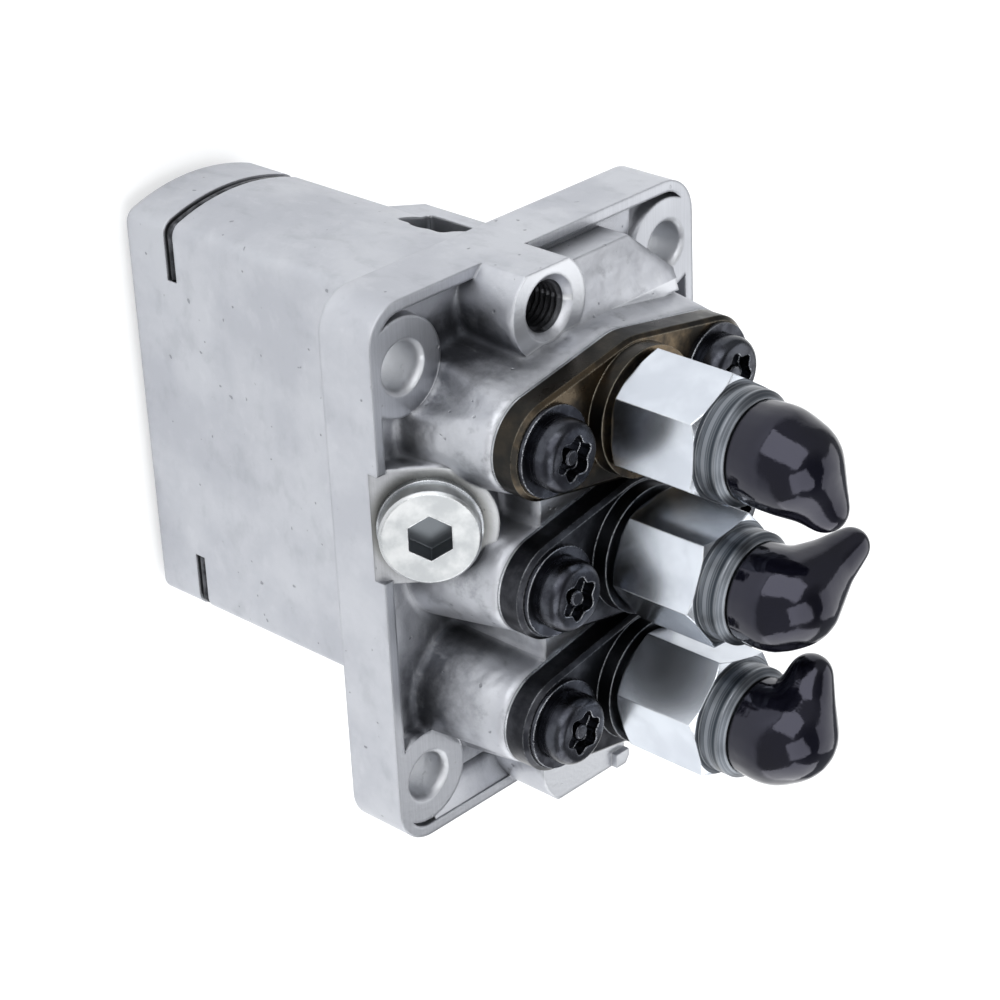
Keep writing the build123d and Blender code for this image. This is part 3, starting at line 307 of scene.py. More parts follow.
# Nicks from handling: few, dark and under 1 mm long
nick_noise = add(
    tree, "ShaderNodeTexNoise", {"Vector": object_place, "Scale": 1000 / NICK, "Detail": 1.0}
).outputs[0]
nicks = add(
    tree, "ShaderNodeMapRange", {0: nick_noise, 1: 0.75, 2: 0.785}, interpolation_type="SMOOTHSTEP"
).outputs[0]
nick_share = add(tree, "ShaderNodeMath", {0: nicks, 1: 0.55}, operation="MULTIPLY").outputs[0]
skin = add(
    tree, "ShaderNodeMix", {0: nick_share, 6: skin, 7: srgb("#66686d")}, data_type="RGBA"
).outputs[2]

# Smears left by oily hands and rags: faint, a few millimetres wide, drawn out along the walls
drawn_out = add(
    tree,
    "ShaderNodeMapping",
    {"Vector": object_place, "Scale": [1000 / size for size in SMEAR]},
).outputs[0]
smear_noise = add(
    tree,
    "ShaderNodeTexNoise",
    {"Vector": drawn_out, "Scale": 1.0, "Detail": 5.0, "Roughness": 0.6, "Distortion": 0.15},
).outputs[0]
smears = add(
    tree,
    "ShaderNodeMapRange",
    {0: smear_noise, 1: 0.52, 2: 0.7, 3: 0.0, 4: 0.24},
    interpolation_type="SMOOTHSTEP",
).outputs[0]
skin = add(
    tree, "ShaderNodeMix", {0: smears, 6: skin, 7: srgb("#8d8f95")}, data_type="RGBA"
).outputs[2]
paler = add(
    tree,
    "ShaderNodeMapRange",
    {0: smear_noise, 1: 0.3, 2: 0.44, 3: 0.3, 4: 0.0},
    interpolation_type="SMOOTHSTEP",
).outputs[0]
skin = add(
    tree, "ShaderNodeMix", {0: paler, 6: skin, 7: srgb("#c6c8cc")}, data_type="RGBA"
).outputs[2]

# Cutter marks: lines along X, 0.25 mm apart, which is coarser than real so that they show
stretched = add(
    tree,
    "ShaderNodeMapping",
    {"Vector": object_place, "Scale": [1000 / size for size in CUTTER_STREAK]},
).outputs[0]
lines = add(
    tree, "ShaderNodeTexNoise", {"Vector": stretched, "Scale": 1.0, "Detail": 2.0}
).outputs[0]
line_share = add(
    tree, "ShaderNodeMapRange", {0: lines, 1: 0.35, 2: 0.65}, interpolation_type="SMOOTHSTEP"
).outputs[0]
bright = add(
    tree, "ShaderNodeMix", {0: line_share, 6: srgb("#a6a8ad"), 7: srgb("#acaeb3")}, data_type="RGBA"
).outputs[2]
# The port's face and the barrels' seats, higher up, were cut last and are the brightest
fresh = add(
    tree,
    "ShaderNodeMapRange",
    {0: height, 1: FRESH_Z[0] * MM, 2: FRESH_Z[1] * MM},
    interpolation_type="SMOOTHSTEP",
).outputs[0]
bright = add(
    tree, "ShaderNodeMix", {0: fresh, 6: bright, 7: srgb("#c4c6ca")}, data_type="RGBA"
).outputs[2]
dressed = add(tree, "ShaderNodeMix", {0: cut, 6: skin, 7: bright}, data_type="RGBA").outputs[2]

# Painted shadow of the side plug's head on its seat, darkest next to the head, and a lighter
# even darkening over the rest of the cut seat
from_seat = add(
    tree,
    "ShaderNodeVectorMath",
    {0: object_place, 1: [c * MM for c in PLUG_SEAT]},
    operation="SUBTRACT",
).outputs["Vector"]
off_axis = add(
    tree, "ShaderNodeVectorMath", {0: from_seat, 1: PLUG_AXIS}, operation="CROSS_PRODUCT"
).outputs["Vector"]
from_plug = add(tree, "ShaderNodeVectorMath", {0: off_axis}, operation="LENGTH").outputs["Value"]
plug_shadow_fade = add(
    tree,
    "ShaderNodeMapRange",
    {0: from_plug, 1: PLUG_SHADOW_RING[0] * MM, 2: PLUG_SHADOW_RING[1] * MM, 3: 1.0, 4: 0.35},
    interpolation_type="SMOOTHSTEP",
).outputs[0]
plug_shadow_share = add(tree, "ShaderNodeMath", {0: cut_plug, 1: plug_shadow_fade}, operation="MULTIPLY").outputs[0]
dressed = add(
    tree, "ShaderNodeMix", {0: plug_shadow_share, 6: dressed, 7: srgb("#5c5c57")}, data_type="RGBA"
).outputs[2]

# The four bolt holes are drilled bright, through a cut pad
quarter_place = add(tree, "ShaderNodeCombineXYZ", {0: across, 1: aside, 2: 0.0}).outputs[0]
from_bolt = add(
    tree,
    "ShaderNodeVectorMath",
    {0: quarter_place, 1: (BOLT_X * MM, BOLT_Y * MM, 0.0)},
    operation="DISTANCE",
).outputs["Value"]
in_bolt_hole = add(
    tree,
    "ShaderNodeMapRange",
    {0: from_bolt, 1: BOLT_HOLE[0] * MM, 2: BOLT_HOLE[1] * MM, 3: 1.0, 4: 0.0},
    interpolation_type="SMOOTHSTEP",
).outputs[0]
dressed = add(
    tree, "ShaderNodeMix", {0: in_bolt_hole, 6: dressed, 7: srgb("#bcbec2")}, data_type="RGBA"
).outputs[2]

# Painted shade and grime: corners and holes darken within about 6 mm of the next wall, less so
# round the bolts
closed = add(
    tree, "ShaderNodeAmbientOcclusion", {"Distance": SHADE_REACH * MM}, samples=6
).outputs["AO"]
near_bolt = add(
    tree,
    "ShaderNodeMapRange",
    {0: from_bolt, 1: BOLT_SHADE_FADE[0] * MM, 2: BOLT_SHADE_FADE[1] * MM, 3: 0.35, 4: 1.0},
    interpolation_type="SMOOTHSTEP",
).outputs[0]
grime_and_shade = add(
    tree,
    "ShaderNodeMapRange",
    {0: closed, 1: 0.2, 2: 0.8, 3: 0.8, 4: 0.0},
    interpolation_type="SMOOTHSTEP",
).outputs[0]
grime_and_shade = add(tree, "ShaderNodeMath", {0: grime_and_shade, 1: near_bolt}, operation="MULTIPLY").outputs[0]
dressed = add(
    tree, "ShaderNodeMix", {0: grime_and_shade, 6: dressed, 7: srgb("#44464b")}, data_type="RGBA"
).outputs[2]

# Painted shade inside the inlet bore darkens its wall
flat_place = add(
    tree,
    "ShaderNodeCombineXYZ",
    {0: split_place.outputs["X"], 1: split_place.outputs["Y"], 2: 0.0},
).outputs[0]
from_port = add(
    tree,
    "ShaderNodeVectorMath",
    {0: flat_place, 1: (PORT[0] * MM, PORT[1] * MM, 0.0)},
    operation="DISTANCE",
).outputs["Value"]
near_port = add(
    tree, "ShaderNodeMath", {0: from_port, 1: (PORT_BORE + 0.1) * MM}, operation="LESS_THAN"
).outputs[0]
down_port = add(
    tree,
    "ShaderNodeMath",
    {0: height, 1: PORT_SHADE_MIDDLE_Z * MM, 2: PORT_SHADE_HALF * MM},
    operation="COMPARE",
).outputs[0]
in_port = add(tree, "ShaderNodeMath", {0: near_port, 1: down_port}, operation="MULTIPLY").outputs[0]
port_shade_share = add(tree, "ShaderNodeMath", {0: in_port, 1: 0.9}, operation="MULTIPLY").outputs[0]
dressed = add(
    tree, "ShaderNodeMix", {0: port_shade_share, 6: dressed, 7: srgb("#37383b")}, data_type="RGBA"
).outputs[2]
tree.links.new(dressed, casting["shader"].inputs["Base Color"])

# A cut face is smoother than the skin
cut_rough = add(tree, "ShaderNodeMath", {0: cut, 1: 0.1}, operation="MULTIPLY").outputs[0]
casting_rough = add(
    tree, "ShaderNodeMath", {0: casting["rough"], 1: cut_rough}, operation="SUBTRACT"
).outputs[0]
tree.links.new(casting_rough, casting["shader"].inputs["Roughness"])

# Relief, in steps of 0.03 mm: flow marks of the metal in the pockets, lumps everywhere but on
# cut faces, nicks sunk in, and a trace of the cutter
flow_marks = add(
    tree,
    "ShaderNodeTexNoise",
    {"Vector": object_place, "Scale": 1000 / FLOW_MARK, "Detail": 2.0, "Roughness": 0.45},
).outputs[0]
lumps = add(
    tree, "ShaderNodeTexNoise", {"Vector": object_place, "Scale": 1000 / LUMP, "Detail": 4.0}
).outputs[0]
flow_share = add(tree, "ShaderNodeMath", {0: rough_cast, 1: 14.0}, operation="MULTIPLY").outputs[0]
relief = add(
    tree,
    "ShaderNodeMath",
    {0: flow_marks, 1: flow_share, 2: casting["fine"]},
    operation="MULTIPLY_ADD",
).outputs[0]
lump_share = add(tree, "ShaderNodeMath", {0: uncut, 1: 2.2}, operation="MULTIPLY").outputs[0]
relief = add(
    tree, "ShaderNodeMath", {0: lumps, 1: lump_share, 2: relief}, operation="MULTIPLY_ADD"
).outputs[0]
relief = add(
    tree, "ShaderNodeMath", {0: nicks, 1: -2.0, 2: relief}, operation="MULTIPLY_ADD"
).outputs[0]
cut_lines = add(tree, "ShaderNodeMath", {0: lines, 1: cut}, operation="MULTIPLY").outputs[0]
relief = add(
    tree, "ShaderNodeMath", {0: cut_lines, 1: 0.12, 2: relief}, operation="MULTIPLY_ADD"
).outputs[0]
tree.links.new(relief, casting["bump"].inputs["Height"])

# Zinc-plated steel, cold drawn and turned: bluish bright metal, a little milky where plated
HEXAGON_TOP_Z = 44.7
COLLAR_INSIDE = 6.4
RING_PITCH = 0.5
zinc = surface(
    "zinc_plated_steel", "#ccd1d8", "#bfc4cc", 9.0, (0.22, 0.26), 0.35, 0.003, edge="#e4e7ea"
)
tree = zinc["tree"]
object_place = zinc["place"].outputs["Object"]
split_place = add(tree, "ShaderNodeSeparateXYZ", {0: object_place})
from_axis = add(
    tree,
    "ShaderNodeMath",
    {0: split_place.outputs["X"], 1: PITCH / 2 * MM, 2: -PITCH / 2 * MM},
    operation="WRAP",
).outputs[0]
flat_place = add(
    tree, "ShaderNodeCombineXYZ", {0: from_axis, 1: split_place.outputs["Y"], 2: 0.0}
).outputs[0]
radius = add(tree, "ShaderNodeVectorMath", {0: flat_place}, operation="LENGTH").outputs["Value"]
# Turning rings about 0.5 mm apart run round each holder
rings_out = add(
    tree, "ShaderNodeMath", {0: radius, 1: 1000 / RING_PITCH}, operation="MULTIPLY"
).outputs[0]
rings_up = add(
    tree,
    "ShaderNodeMath",
    {0: split_place.outputs["Z"], 1: 1000 / RING_PITCH},
    operation="MULTIPLY",
).outputs[0]
rings = add(tree, "ShaderNodeCombineXYZ", {0: rings_out, 1: 0.0, 2: rings_up}).outputs[0]
turned = add(tree, "ShaderNodeTexNoise", {"Vector": rings, "Scale": 1.0, "Detail": 3.0}).outputs[0]
above_hexagon = add(
    tree,
    "ShaderNodeMath",
    {0: split_place.outputs["Z"], 1: HEXAGON_TOP_Z * MM},
    operation="GREATER_THAN",
).outputs[0]
turned = add(tree, "ShaderNodeMath", {0: turned, 1: above_hexagon}, operation="MULTIPLY").outputs[0]
relief = add(
    tree, "ShaderNodeMath", {0: turned, 1: 2.0, 2: zinc["fine"]}, operation="MULTIPLY_ADD"
).outputs[0]
tree.links.new(relief, zinc["bump"].inputs["Height"])
# Painted shade and a painted reflection of the dark cap lie on the collar, streaked along its
# turning rings, and make it darker than the drawn hexagon
beyond_nipple = add(
    tree, "ShaderNodeMath", {0: radius, 1: COLLAR_INSIDE * MM}, operation="GREATER_THAN"
).outputs[0]
on_collar = add(
    tree, "ShaderNodeMath", {0: above_hexagon, 1: beyond_nipple}, operation="MULTIPLY"
).outputs[0]
in_rings = add(
    tree,
    "ShaderNodeMapRange",
    {0: turned, 1: 0.35, 2: 0.65, 3: 1.0, 4: 0.7},
    interpolation_type="SMOOTHSTEP",
).outputs[0]
collar_shade = add(tree, "ShaderNodeMath", {0: on_collar, 1: in_rings}, operation="MULTIPLY").outputs[0]
zinc_colour = add(
    tree, "ShaderNodeMix", {0: collar_shade, 6: zinc["colour"], 7: srgb("#383d43")}, data_type="RGBA"
).outputs[2]
tree.links.new(zinc_colour, zinc["shader"].inputs["Base Color"])
zinc_rough = add(
    tree, "ShaderNodeMath", {0: above_hexagon, 1: 0.12, 2: zinc["rough"]}, operation="MULTIPLY_ADD"
).outputs[0]
tree.links.new(zinc_rough, zinc["shader"].inputs["Roughness"])

# The side plug has the same zinc, duller from handling, with painted shade in its deep socket
SOCKET_REACH = 3.52
SOCKET_TOP = PLUG_TOP - 0.12
plug = surface(
    "zinc_plated_plug", "#b4b6b7", "#a1a4a6", 4.0, (0.3, 0.38), 0.4, 0.006, edge="#eef0f2"
)
tree = plug["tree"]
from_seat = add(
    tree,
    "ShaderNodeVectorMath",
    {0: plug["place"].outputs["Object"], 1: [c * MM for c in PLUG_SEAT]},
    operation="SUBTRACT",
).outputs["Vector"]
along_plug = add(
    tree, "ShaderNodeVectorMath", {0: from_seat, 1: PLUG_AXIS}, operation="DOT_PRODUCT"
).outputs["Value"]
off_axis = add(
    tree, "ShaderNodeVectorMath", {0: from_seat, 1: PLUG_AXIS}, operation="CROSS_PRODUCT"
).outputs["Vector"]
from_plug_axis = add(
    tree, "ShaderNodeVectorMath", {0: off_axis}, operation="LENGTH"
).outputs["Value"]
near_axis = add(
    tree, "ShaderNodeMath", {0: from_plug_axis, 1: SOCKET_REACH * MM}, operation="LESS_THAN"
).outputs[0]
below_top = add(
    tree, "ShaderNodeMath", {0: along_plug, 1: SOCKET_TOP * MM}, operation="LESS_THAN"
).outputs[0]
in_socket = add(
    tree, "ShaderNodeMath", {0: near_axis, 1: below_top}, operation="MULTIPLY"
).outputs[0]
# Painted shade: the inside of the socket is darkened
plug_colour = add(
    tree, "ShaderNodeMix", {0: in_socket, 6: plug["colour"], 7: srgb("#63676b")}, data_type="RGBA"
).outputs[2]
tree.links.new(plug_colour, plug["shader"].inputs["Base Color"])

# Black oxide on steel: blue-black and slightly oily, worn bright on its edges
oxide = surface(
    "black_oxide_steel", "#36373b", "#202125", 4.0, (0.28, 0.42), 0.4, 0.012, edge="#8b8e93"
)
# Screws and washers: the same oxide, rubbed greyer by the tools
screw_black = surface(
    "black_oxide_screws", "#43454b", "#2c2d33", 3.0, (0.22, 0.34), 0.4, 0.01, edge="#a4a7ad"
)
# The first barrel was tempered by heat: the same oxide, olive-brown on faces that look up and
# near black on the others
tempered = surface(
    "tempered_steel", "#6a5c49", "#2e2b27", 6.0, (0.26, 0.4), 0.4, 0.012, edge="#a09a8c"
)
tree = tempered["tree"]
upward = add(
    tree, "ShaderNodeSeparateXYZ", {0: tempered["place"].outputs["Normal"]}
).outputs["Z"]
upward_share = add(
    tree,
    "ShaderNodeMapRange",
    {0: upward, 1: 0.5, 2: 0.9, 3: 0.0, 4: 0.75},
    interpolation_type="SMOOTHSTEP",
).outputs[0]
sideways_share = add(tree, "ShaderNodeMath", {0: 0.85, 1: upward_share}, operation="SUBTRACT").outputs[0]
tempered_colour = add(
    tree, "ShaderNodeMix", {0: sideways_share, 6: tempered["colour"], 7: srgb("#262625")}, data_type="RGBA"
).outputs[2]
tree.links.new(tempered_colour, tempered["shader"].inputs["Base Color"])
# Dipped PVC: soft glossy black with a faint blue cast, almost no texture
vinyl = surface(
    "dipped_vinyl", "#0a0a12", "#06060b", 9.0, (0.06, 0.14), 2.4, 0.05, metallic=0.0, round_edge=0.4
)
vinyl["shader"].inputs["Specular Tint"].default_value = srgb("#dcdcf4")
# Hard-drawn spring wire, dark and slightly shiny from its heat treatment and oil
wire = surface("spring_wire", "#55565a", "#2c2d30", 2.0, (0.3, 0.42), 0.3, 0.01)
# Ground and lapped steel: nearly a mirror, with a grain too fine to see
ground = surface("ground_steel", "#d0d3d7", "#b5b9be", 3.0, (0.12, 0.2), 0.25, 0.002)
# Turned and hardened steel: grey with satin marks
turned_steel = surface(
    "turned_steel", "#a2a6ab", "#7b7f85", 3.0, (0.28, 0.4), 0.3, 0.008, edge="#c9ccd0"
)
# Rolled shim strip: bright and smooth
shim = surface("shim_steel", "#b9bcc0", "#94979b", 3.0, (0.25, 0.35), 0.3, 0.004)
# Soft annealed copper, slightly browned
copper = surface("annealed_copper", "#c98a66", "#8f5a3e", 2.5, (0.25, 0.4), 0.3, 0.008)
# Sintered bronze with oil in its pores
bronze = surface("sintered_bronze", "#b08d57", "#7c6238", 1.5, (0.3, 0.45), 0.25, 0.012)
# Nitrile rubber: matt black with a dusting of talc
rubber = surface(
    "nitrile_rubber", "#242527", "#151617", 2.0, (0.55, 0.7), 0.3, 0.01, metallic=0.0
)

FINISHES = {
    "pump_housing": casting,
    "gallery_plug": turned_steel,
    "plug_washer": shim,
    "side_plug": plug,
    "plunger_barrel_1": tempered,
    "plunger_barrel_2": oxide,
    "plunger_barrel_3": oxide,
    "delivery_valve_seat": ground,
    "delivery_valve_holder": zinc,
    "delivery_valve_spring": wire,
    "delivery_valve": ground,
    "delivery_cap": vinyl,
    "flange_shims": shim,
    "barrel_o_rings": rubber,
    "valve_gaskets": copper,
    "upper_spring_seats": turned_steel,
    "lower_spring_seat": turned_steel,
    "plain_washers": screw_black,
    "spring_washers": screw_black,
    "element_screws": screw_black,
    "plunger_spring": wire,
    "plunger": ground,
    "control_sleeve": turned_steel,
    "control_rack": turned_steel,
    "rack_link_pin": ground,
    "roller_tappet": turned_steel,
    "tappet_roller": ground,
    "roller_bush": bronze,
    "roller_pin": ground,
    "tappet_guide_pins": ground,
    "retaining_clip": wire,
}


def dress(piece, name):
    """Gives a piece the finish whose name starts its own, the longest match first."""
    start = max((key for key in FINISHES if name.startswith(key)), key=len)
    piece.data.materials.clear()
    piece.data.materials.append(FINISHES[start]["material"])


for name, piece in nodes.items():
    dress(piece, name)


def new_piece(name, form, finish):
    """Object of that name from a bmesh, which is freed."""
    mesh = bpy.data.meshes.new(name)
    form.to_mesh(mesh)
    form.free()
    piece = bpy.data.objects.new(name, mesh)
    bpy.context.scene.collection.objects.link(piece)
    mesh.materials.append(finish["material"])
    return piece


def settle(piece):
    """Turns a piece's modifiers into its plain mesh."""
    graph = bpy.context.evaluated_depsgraph_get()
    mesh = bpy.data.meshes.new_from_object(piece.evaluated_get(graph))
    piece.modifiers.clear()
    piece.data = mesh


def smooth(piece, degrees):
    """Shades a piece smoothly, with edges sharper than the angle kept crisp."""
    piece.data.shade_smooth()
    piece.data.set_sharp_from_angle(angle=radians(degrees))


# The pocket's floor is raised at both ends of the row: beside the inlet port, and as a soft
# ramp up to the rim at the far end. Each is a profile of x and z drawn along Y.
RAMP_PROFILE = [(35.9, 7.5), (38.3, 8.3), (41.0, 9.6), (41.2, 7.0), (35.9, 7.0)]
STEP_PROFILE = [(-41.2, 9.3), (-38.0, 9.1), (-35.0, 8.6), (-33.5, 7.0), (-41.2, 7.0)]
RAISED_FLOORS = [
    ("casting_ramp", RAMP_PROFILE, -26, 26),
    ("casting_step", STEP_PROFILE, -1, 20),
]
for name, profile, start, end in RAISED_FLOORS:
    form = bmesh.new()
    near_side, far_side = [
        [form.verts.new(Vector((x, y, z)) * MM) for x, z in profile] for y in (start, end)
    ]
    form.faces.new(near_side)
    form.faces.new(list(reversed(far_side)))
    for corner in range(len(profile)):
        before = corner - 1
        form.faces.new(
            (near_side[before], far_side[before], far_side[corner], near_side[corner])
        )
    bmesh.ops.recalc_face_normals(form, faces=form.faces)
    floor_piece = new_piece(name, form, casting)
    smooth(floor_piece, 40)
    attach(floor_piece, "pump")

# Transport caps: dipped in liquid vinyl, so each is a blunt bulb that runs out in a drooping
# tail. Beads, each an offset from the cylinder's axis, a height and a radius, are strung from
# the mouth to the tail's tip and then melted together.
CAP_MOUTH_Z = 49.3
CAP_NIPPLE_Z = 55.15
CAP_BORE = 6.05
CAP_BULB = [(0, 0, 47.0, 7.2), (0, 0, 52.2, 7.5)]
CAP_TAILS = [
    [(0.6, 0.2, 54.6, 7.1), (3.6, 1.2, 57.0, 4.9), (6.3, 1.9, 58.8, 3.4)],
    [(-0.4, 0.8, 54.2, 7.0), (-3.2, 6.2, 55.6, 4.2), (-5.4, 10.2, 56.9, 2.8)],
    [(-0.5, 0.3, 54.2, 7.0), (-4.2, 2.7, 54.6, 4.7), (-8.1, 4.5, 54.6, 3.3)],
]
BEADS_PER_LENGTH = 10
MELT_GRID = 0.32
FLOW_ROUNDS = 22
BORE_SIDES = 64


def cap_form(axis_x, beads):
    """Bmesh of overlapping beads along a cap's middle line."""
    form = bmesh.new()
    for start, end in zip(beads, beads[1:]):
        for step in range(BEADS_PER_LENGTH + 1):
            share = step / BEADS_PER_LENGTH
            x, y, z, r = [a + (b - a) * share for a, b in zip(start, end)]
            place = Matrix.Translation(Vector((axis_x + x, y, z)) * MM)
            bmesh.ops.create_icosphere(form, subdivisions=3, radius=r * MM, matrix=place)
    return form


for number, (axis_x, tail) in enumerate(zip(CYLINDERS, CAP_TAILS), 1):
    cap = new_piece(f"dipped_cap_{number}", cap_form(axis_x, CAP_BULB + tail), vinyl)
    melt = cap.modifiers.new("melt", "REMESH")
    melt.mode = "VOXEL"
    melt.voxel_size = MELT_GRID * MM
    flow = cap.modifiers.new("flow", "SMOOTH")
    flow.factor = 0.6
    flow.iterations = FLOW_ROUNDS
    settle(cap)
    bore_form = bmesh.new()
    bmesh.ops.create_cone(
        bore_form,
        cap_ends=True,
        segments=BORE_SIDES,
        radius1=CAP_BORE * MM,
        radius2=CAP_BORE * MM,
        depth=2 * (CAP_NIPPLE_Z - CAP_MOUTH_Z) * MM,
        matrix=Matrix.Translation(Vector((axis_x, 0, CAP_MOUTH_Z)) * MM),
    )
    bore = new_piece("cap_bore", bore_form, vinyl)
    hollow = cap.modifiers.new("hollow", "BOOLEAN")
    hollow.operation = "DIFFERENCE"
    hollow.solver = "EXACT"
    hollow.object = bore
    settle(cap)
    bpy.data.objects.remove(bore)
    form = bmesh.new()
    form.from_mesh(cap.data)
    everything = form.verts[:] + form.edges[:] + form.faces[:]
    mouth = Vector((axis_x, 0, CAP_MOUTH_Z)) * MM
    bmesh.ops.bisect_plane(
        form, geom=everything, plane_co=mouth, plane_no=(0, 0, 1), clear_inner=True
    )
    # The cut leaves two rings of edges at the mouth, which a flat lip joins
    rims = [edge for edge in form.edges if edge.is_boundary]
    bmesh.ops.bridge_loops(form, edges=rims)
    bmesh.ops.recalc_face_normals(form, faces=form.faces)
    form.to_mesh(cap.data)
    form.free()
    smooth(cap, 50)
    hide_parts(f"delivery_cap_{number}")
    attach(cap, f"cap_{number}")


# Element screws: pan heads with a hexalobular socket round a security pin. One screw is
# turned from rings of points, each a radius and a height, and a node tree sets six of them out
# on the barrels, turned at random within the angle in radians at which the lobes repeat.
SCREW_Y = 17.2
SCREW_HEAD_Z = 28.6
SCREW_STEPS = 72
SCREWS_IN_ROW = 3
SCREW_ROWS = 2
SCREW_SEED = 4
LOBES = 6
LOBE_MEAN = 2.95
LOBE_SWING = 0.38
LOBE_REPEAT = 1.05
SCREW_RINGS = [
    (3.0, -17.9), (3.0, 0.0), (5.2, 0.0), (5.2, 1.3), (5.12, 1.75), (4.93, 2.15), (4.65, 2.5),
    (4.3, 2.74), (3.95, 2.86), (None, 2.87), (None, 0.9), (1.15, 0.9), (1.15, 2.3), (0.95, 2.5),
]


def screw_form():
    """Bmesh of one screw with its head's seat at the origin; a ring without a radius is lobed."""
    form = bmesh.new()
    rings = []
    for radius, height in SCREW_RINGS:
        ring = []
        for step in range(SCREW_STEPS):
            turn = 2 * pi * step / SCREW_STEPS
            reach = radius or LOBE_MEAN + LOBE_SWING * cos(LOBES * turn)
            ring.append(form.verts.new(Vector((reach * cos(turn), reach * sin(turn), height)) * MM))
        rings.append(ring)
    for lower, upper in zip(rings, rings[1:]):
        for step in range(SCREW_STEPS):
            after = (step + 1) % SCREW_STEPS
            form.faces.new((lower[step], lower[after], upper[after], upper[step]))
    form.faces.new(list(reversed(rings[0])))
    form.faces.new(rings[-1])
    return form


screw = new_piece("element_screw_pattern", screw_form(), screw_black)
smooth(screw, 35)

setting = bpy.data.node_groups.new("screw_setting", "GeometryNodeTree")
setting.interface.new_socket("Geometry", in_out="INPUT", socket_type="NodeSocketGeometry")
setting_inputs = {
    name: setting.interface.new_socket(name, in_out="INPUT", socket_type="NodeSocketFloat")
    for name in ("Row length", "Row spacing", "Seat height")
}
setting.interface.new_socket("Geometry", in_out="OUTPUT", socket_type="NodeSocketGeometry")
sizes = add(setting, "NodeGroupInput")
grid = add(
    setting,
    "GeometryNodeMeshGrid",
    {
        "Size X": sizes.outputs["Row length"],
        "Size Y": sizes.outputs["Row spacing"],
        "Vertices X": SCREWS_IN_ROW,
        "Vertices Y": SCREW_ROWS,
    },
)
seat = add(setting, "ShaderNodeCombineXYZ", {2: sizes.outputs["Seat height"]})
lifted = add(
    setting, "GeometryNodeSetPosition", {"Geometry": grid.outputs[0], "Offset": seat.outputs[0]}
)
turned_by = add(
    setting,
    "FunctionNodeRandomValue",
    {"Min": 0.0, "Max": LOBE_REPEAT, "Seed": SCREW_SEED},
    data_type="FLOAT",
)
turning = add(setting, "ShaderNodeCombineXYZ", {2: turned_by.outputs[1]})
copies = add(
    setting,
    "GeometryNodeInstanceOnPoints",
    {
        "Points": lifted.outputs[0],
        "Instance": sizes.outputs["Geometry"],
        "Rotation": turning.outputs[0],
    },
)
solid = add(setting, "GeometryNodeRealizeInstances", {"Geometry": copies.outputs[0]})
finished = add(
    setting,
    "GeometryNodeSetMaterial",
    {"Geometry": solid.outputs[0], "Material": screw_black["material"]},
)
add(setting, "NodeGroupOutput", {0: finished.outputs[0]})
set_out = screw.modifiers.new("set_out", "NODES")
set_out.node_group = setting
set_out[setting_inputs["Row length"].identifier] = 2 * PITCH * MM
set_out[setting_inputs["Row spacing"].identifier] = 2 * SCREW_Y * MM
set_out[setting_inputs["Seat height"].identifier] = SCREW_HEAD_Z * MM
settle(screw)
screw.name = "element_screw_heads"
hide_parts("element_screws")
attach(screw, "pump")

# Threads of the inlet port and of the nipples under the caps: a ridge of square section, set on
# its corner, that runs round as a helix. Each row gives a name, the low end, then radius, pitch,
# number of turns and ridge height in millimetres, then finish and slot.
THREAD_STEPS = 48
THREADS = [
    ("inlet_thread", (*PORT, 9.6), 3.7, 1.0, 7.0, 0.42, casting, "cast_aluminium"),
    ("nipple_thread_1", (-PITCH, 0, 49.7), 5.8, 1.5, 2.6, 0.4, zinc, "zinc_plated_steel"),
    ("nipple_thread_2", (0, 0, 49.7), 5.8, 1.5, 2.6, 0.4, zinc, "zinc_plated_steel"),
    ("nipple_thread_3", (PITCH, 0, 49.7), 5.8, 1.5, 2.6, 0.4, zinc, "zinc_plated_steel"),
]
threading = bpy.data.node_groups.new("thread_ridge", "GeometryNodeTree")
thread_inputs = {
    name: threading.interface.new_socket(name, in_out="INPUT", socket_type=kind)
    for name, kind in (
        ("Turns", "NodeSocketFloat"),
        ("Radius", "NodeSocketFloat"),
        ("Length", "NodeSocketFloat"),
        ("Ridge", "NodeSocketFloat"),
        ("Finish", "NodeSocketMaterial"),
    )
}
threading.interface.new_socket("Geometry", in_out="OUTPUT", socket_type="NodeSocketGeometry")
sizes = add(threading, "NodeGroupInput")
helix = add(
    threading,
    "GeometryNodeCurveSpiral",
    {
        "Resolution": THREAD_STEPS,
        "Rotations": sizes.outputs["Turns"],
        "Start Radius": sizes.outputs["Radius"],
        "End Radius": sizes.outputs["Radius"],
        "Height": sizes.outputs["Length"],
    },
)
upright = add(
    threading, "GeometryNodeSetCurveNormal", {"Curve": helix.outputs[0]}, mode="Z_UP"
)
section = add(
    threading,
    "GeometryNodeCurvePrimitiveCircle",
    {"Resolution": 4, "Radius": sizes.outputs["Ridge"]},
)
ridge = add(
    threading,
    "GeometryNodeCurveToMesh",
    {"Curve": upright.outputs[0], "Profile Curve": section.outputs[0], "Fill Caps": True},
)
solid = add(threading, "GeometryNodeRealizeInstances", {"Geometry": ridge.outputs[0]})
finished = add(
    threading,
    "GeometryNodeSetMaterial",
    {"Geometry": solid.outputs[0], "Material": sizes.outputs["Finish"]},
)
add(threading, "NodeGroupOutput", {0: finished.outputs[0]})
for name, low_end, reach, pitch, turns, ridge_height, finish, slot in THREADS:
    thread = new_piece(name, bmesh.new(), finish)
    run_round = thread.modifiers.new("run_round", "NODES")
    run_round.node_group = threading
    run_round[thread_inputs["Turns"].identifier] = turns
    run_round[thread_inputs["Radius"].identifier] = reach * MM
    run_round[thread_inputs["Length"].identifier] = turns * pitch * MM
    run_round[thread_inputs["Ridge"].identifier] = ridge_height * MM
    run_round[thread_inputs["Finish"].identifier] = finish["material"]
    settle(thread)
    thread.data.transform(Matrix.Translation(Vector(low_end) * MM))
    smooth(thread, 30)
    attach(thread, "pump")
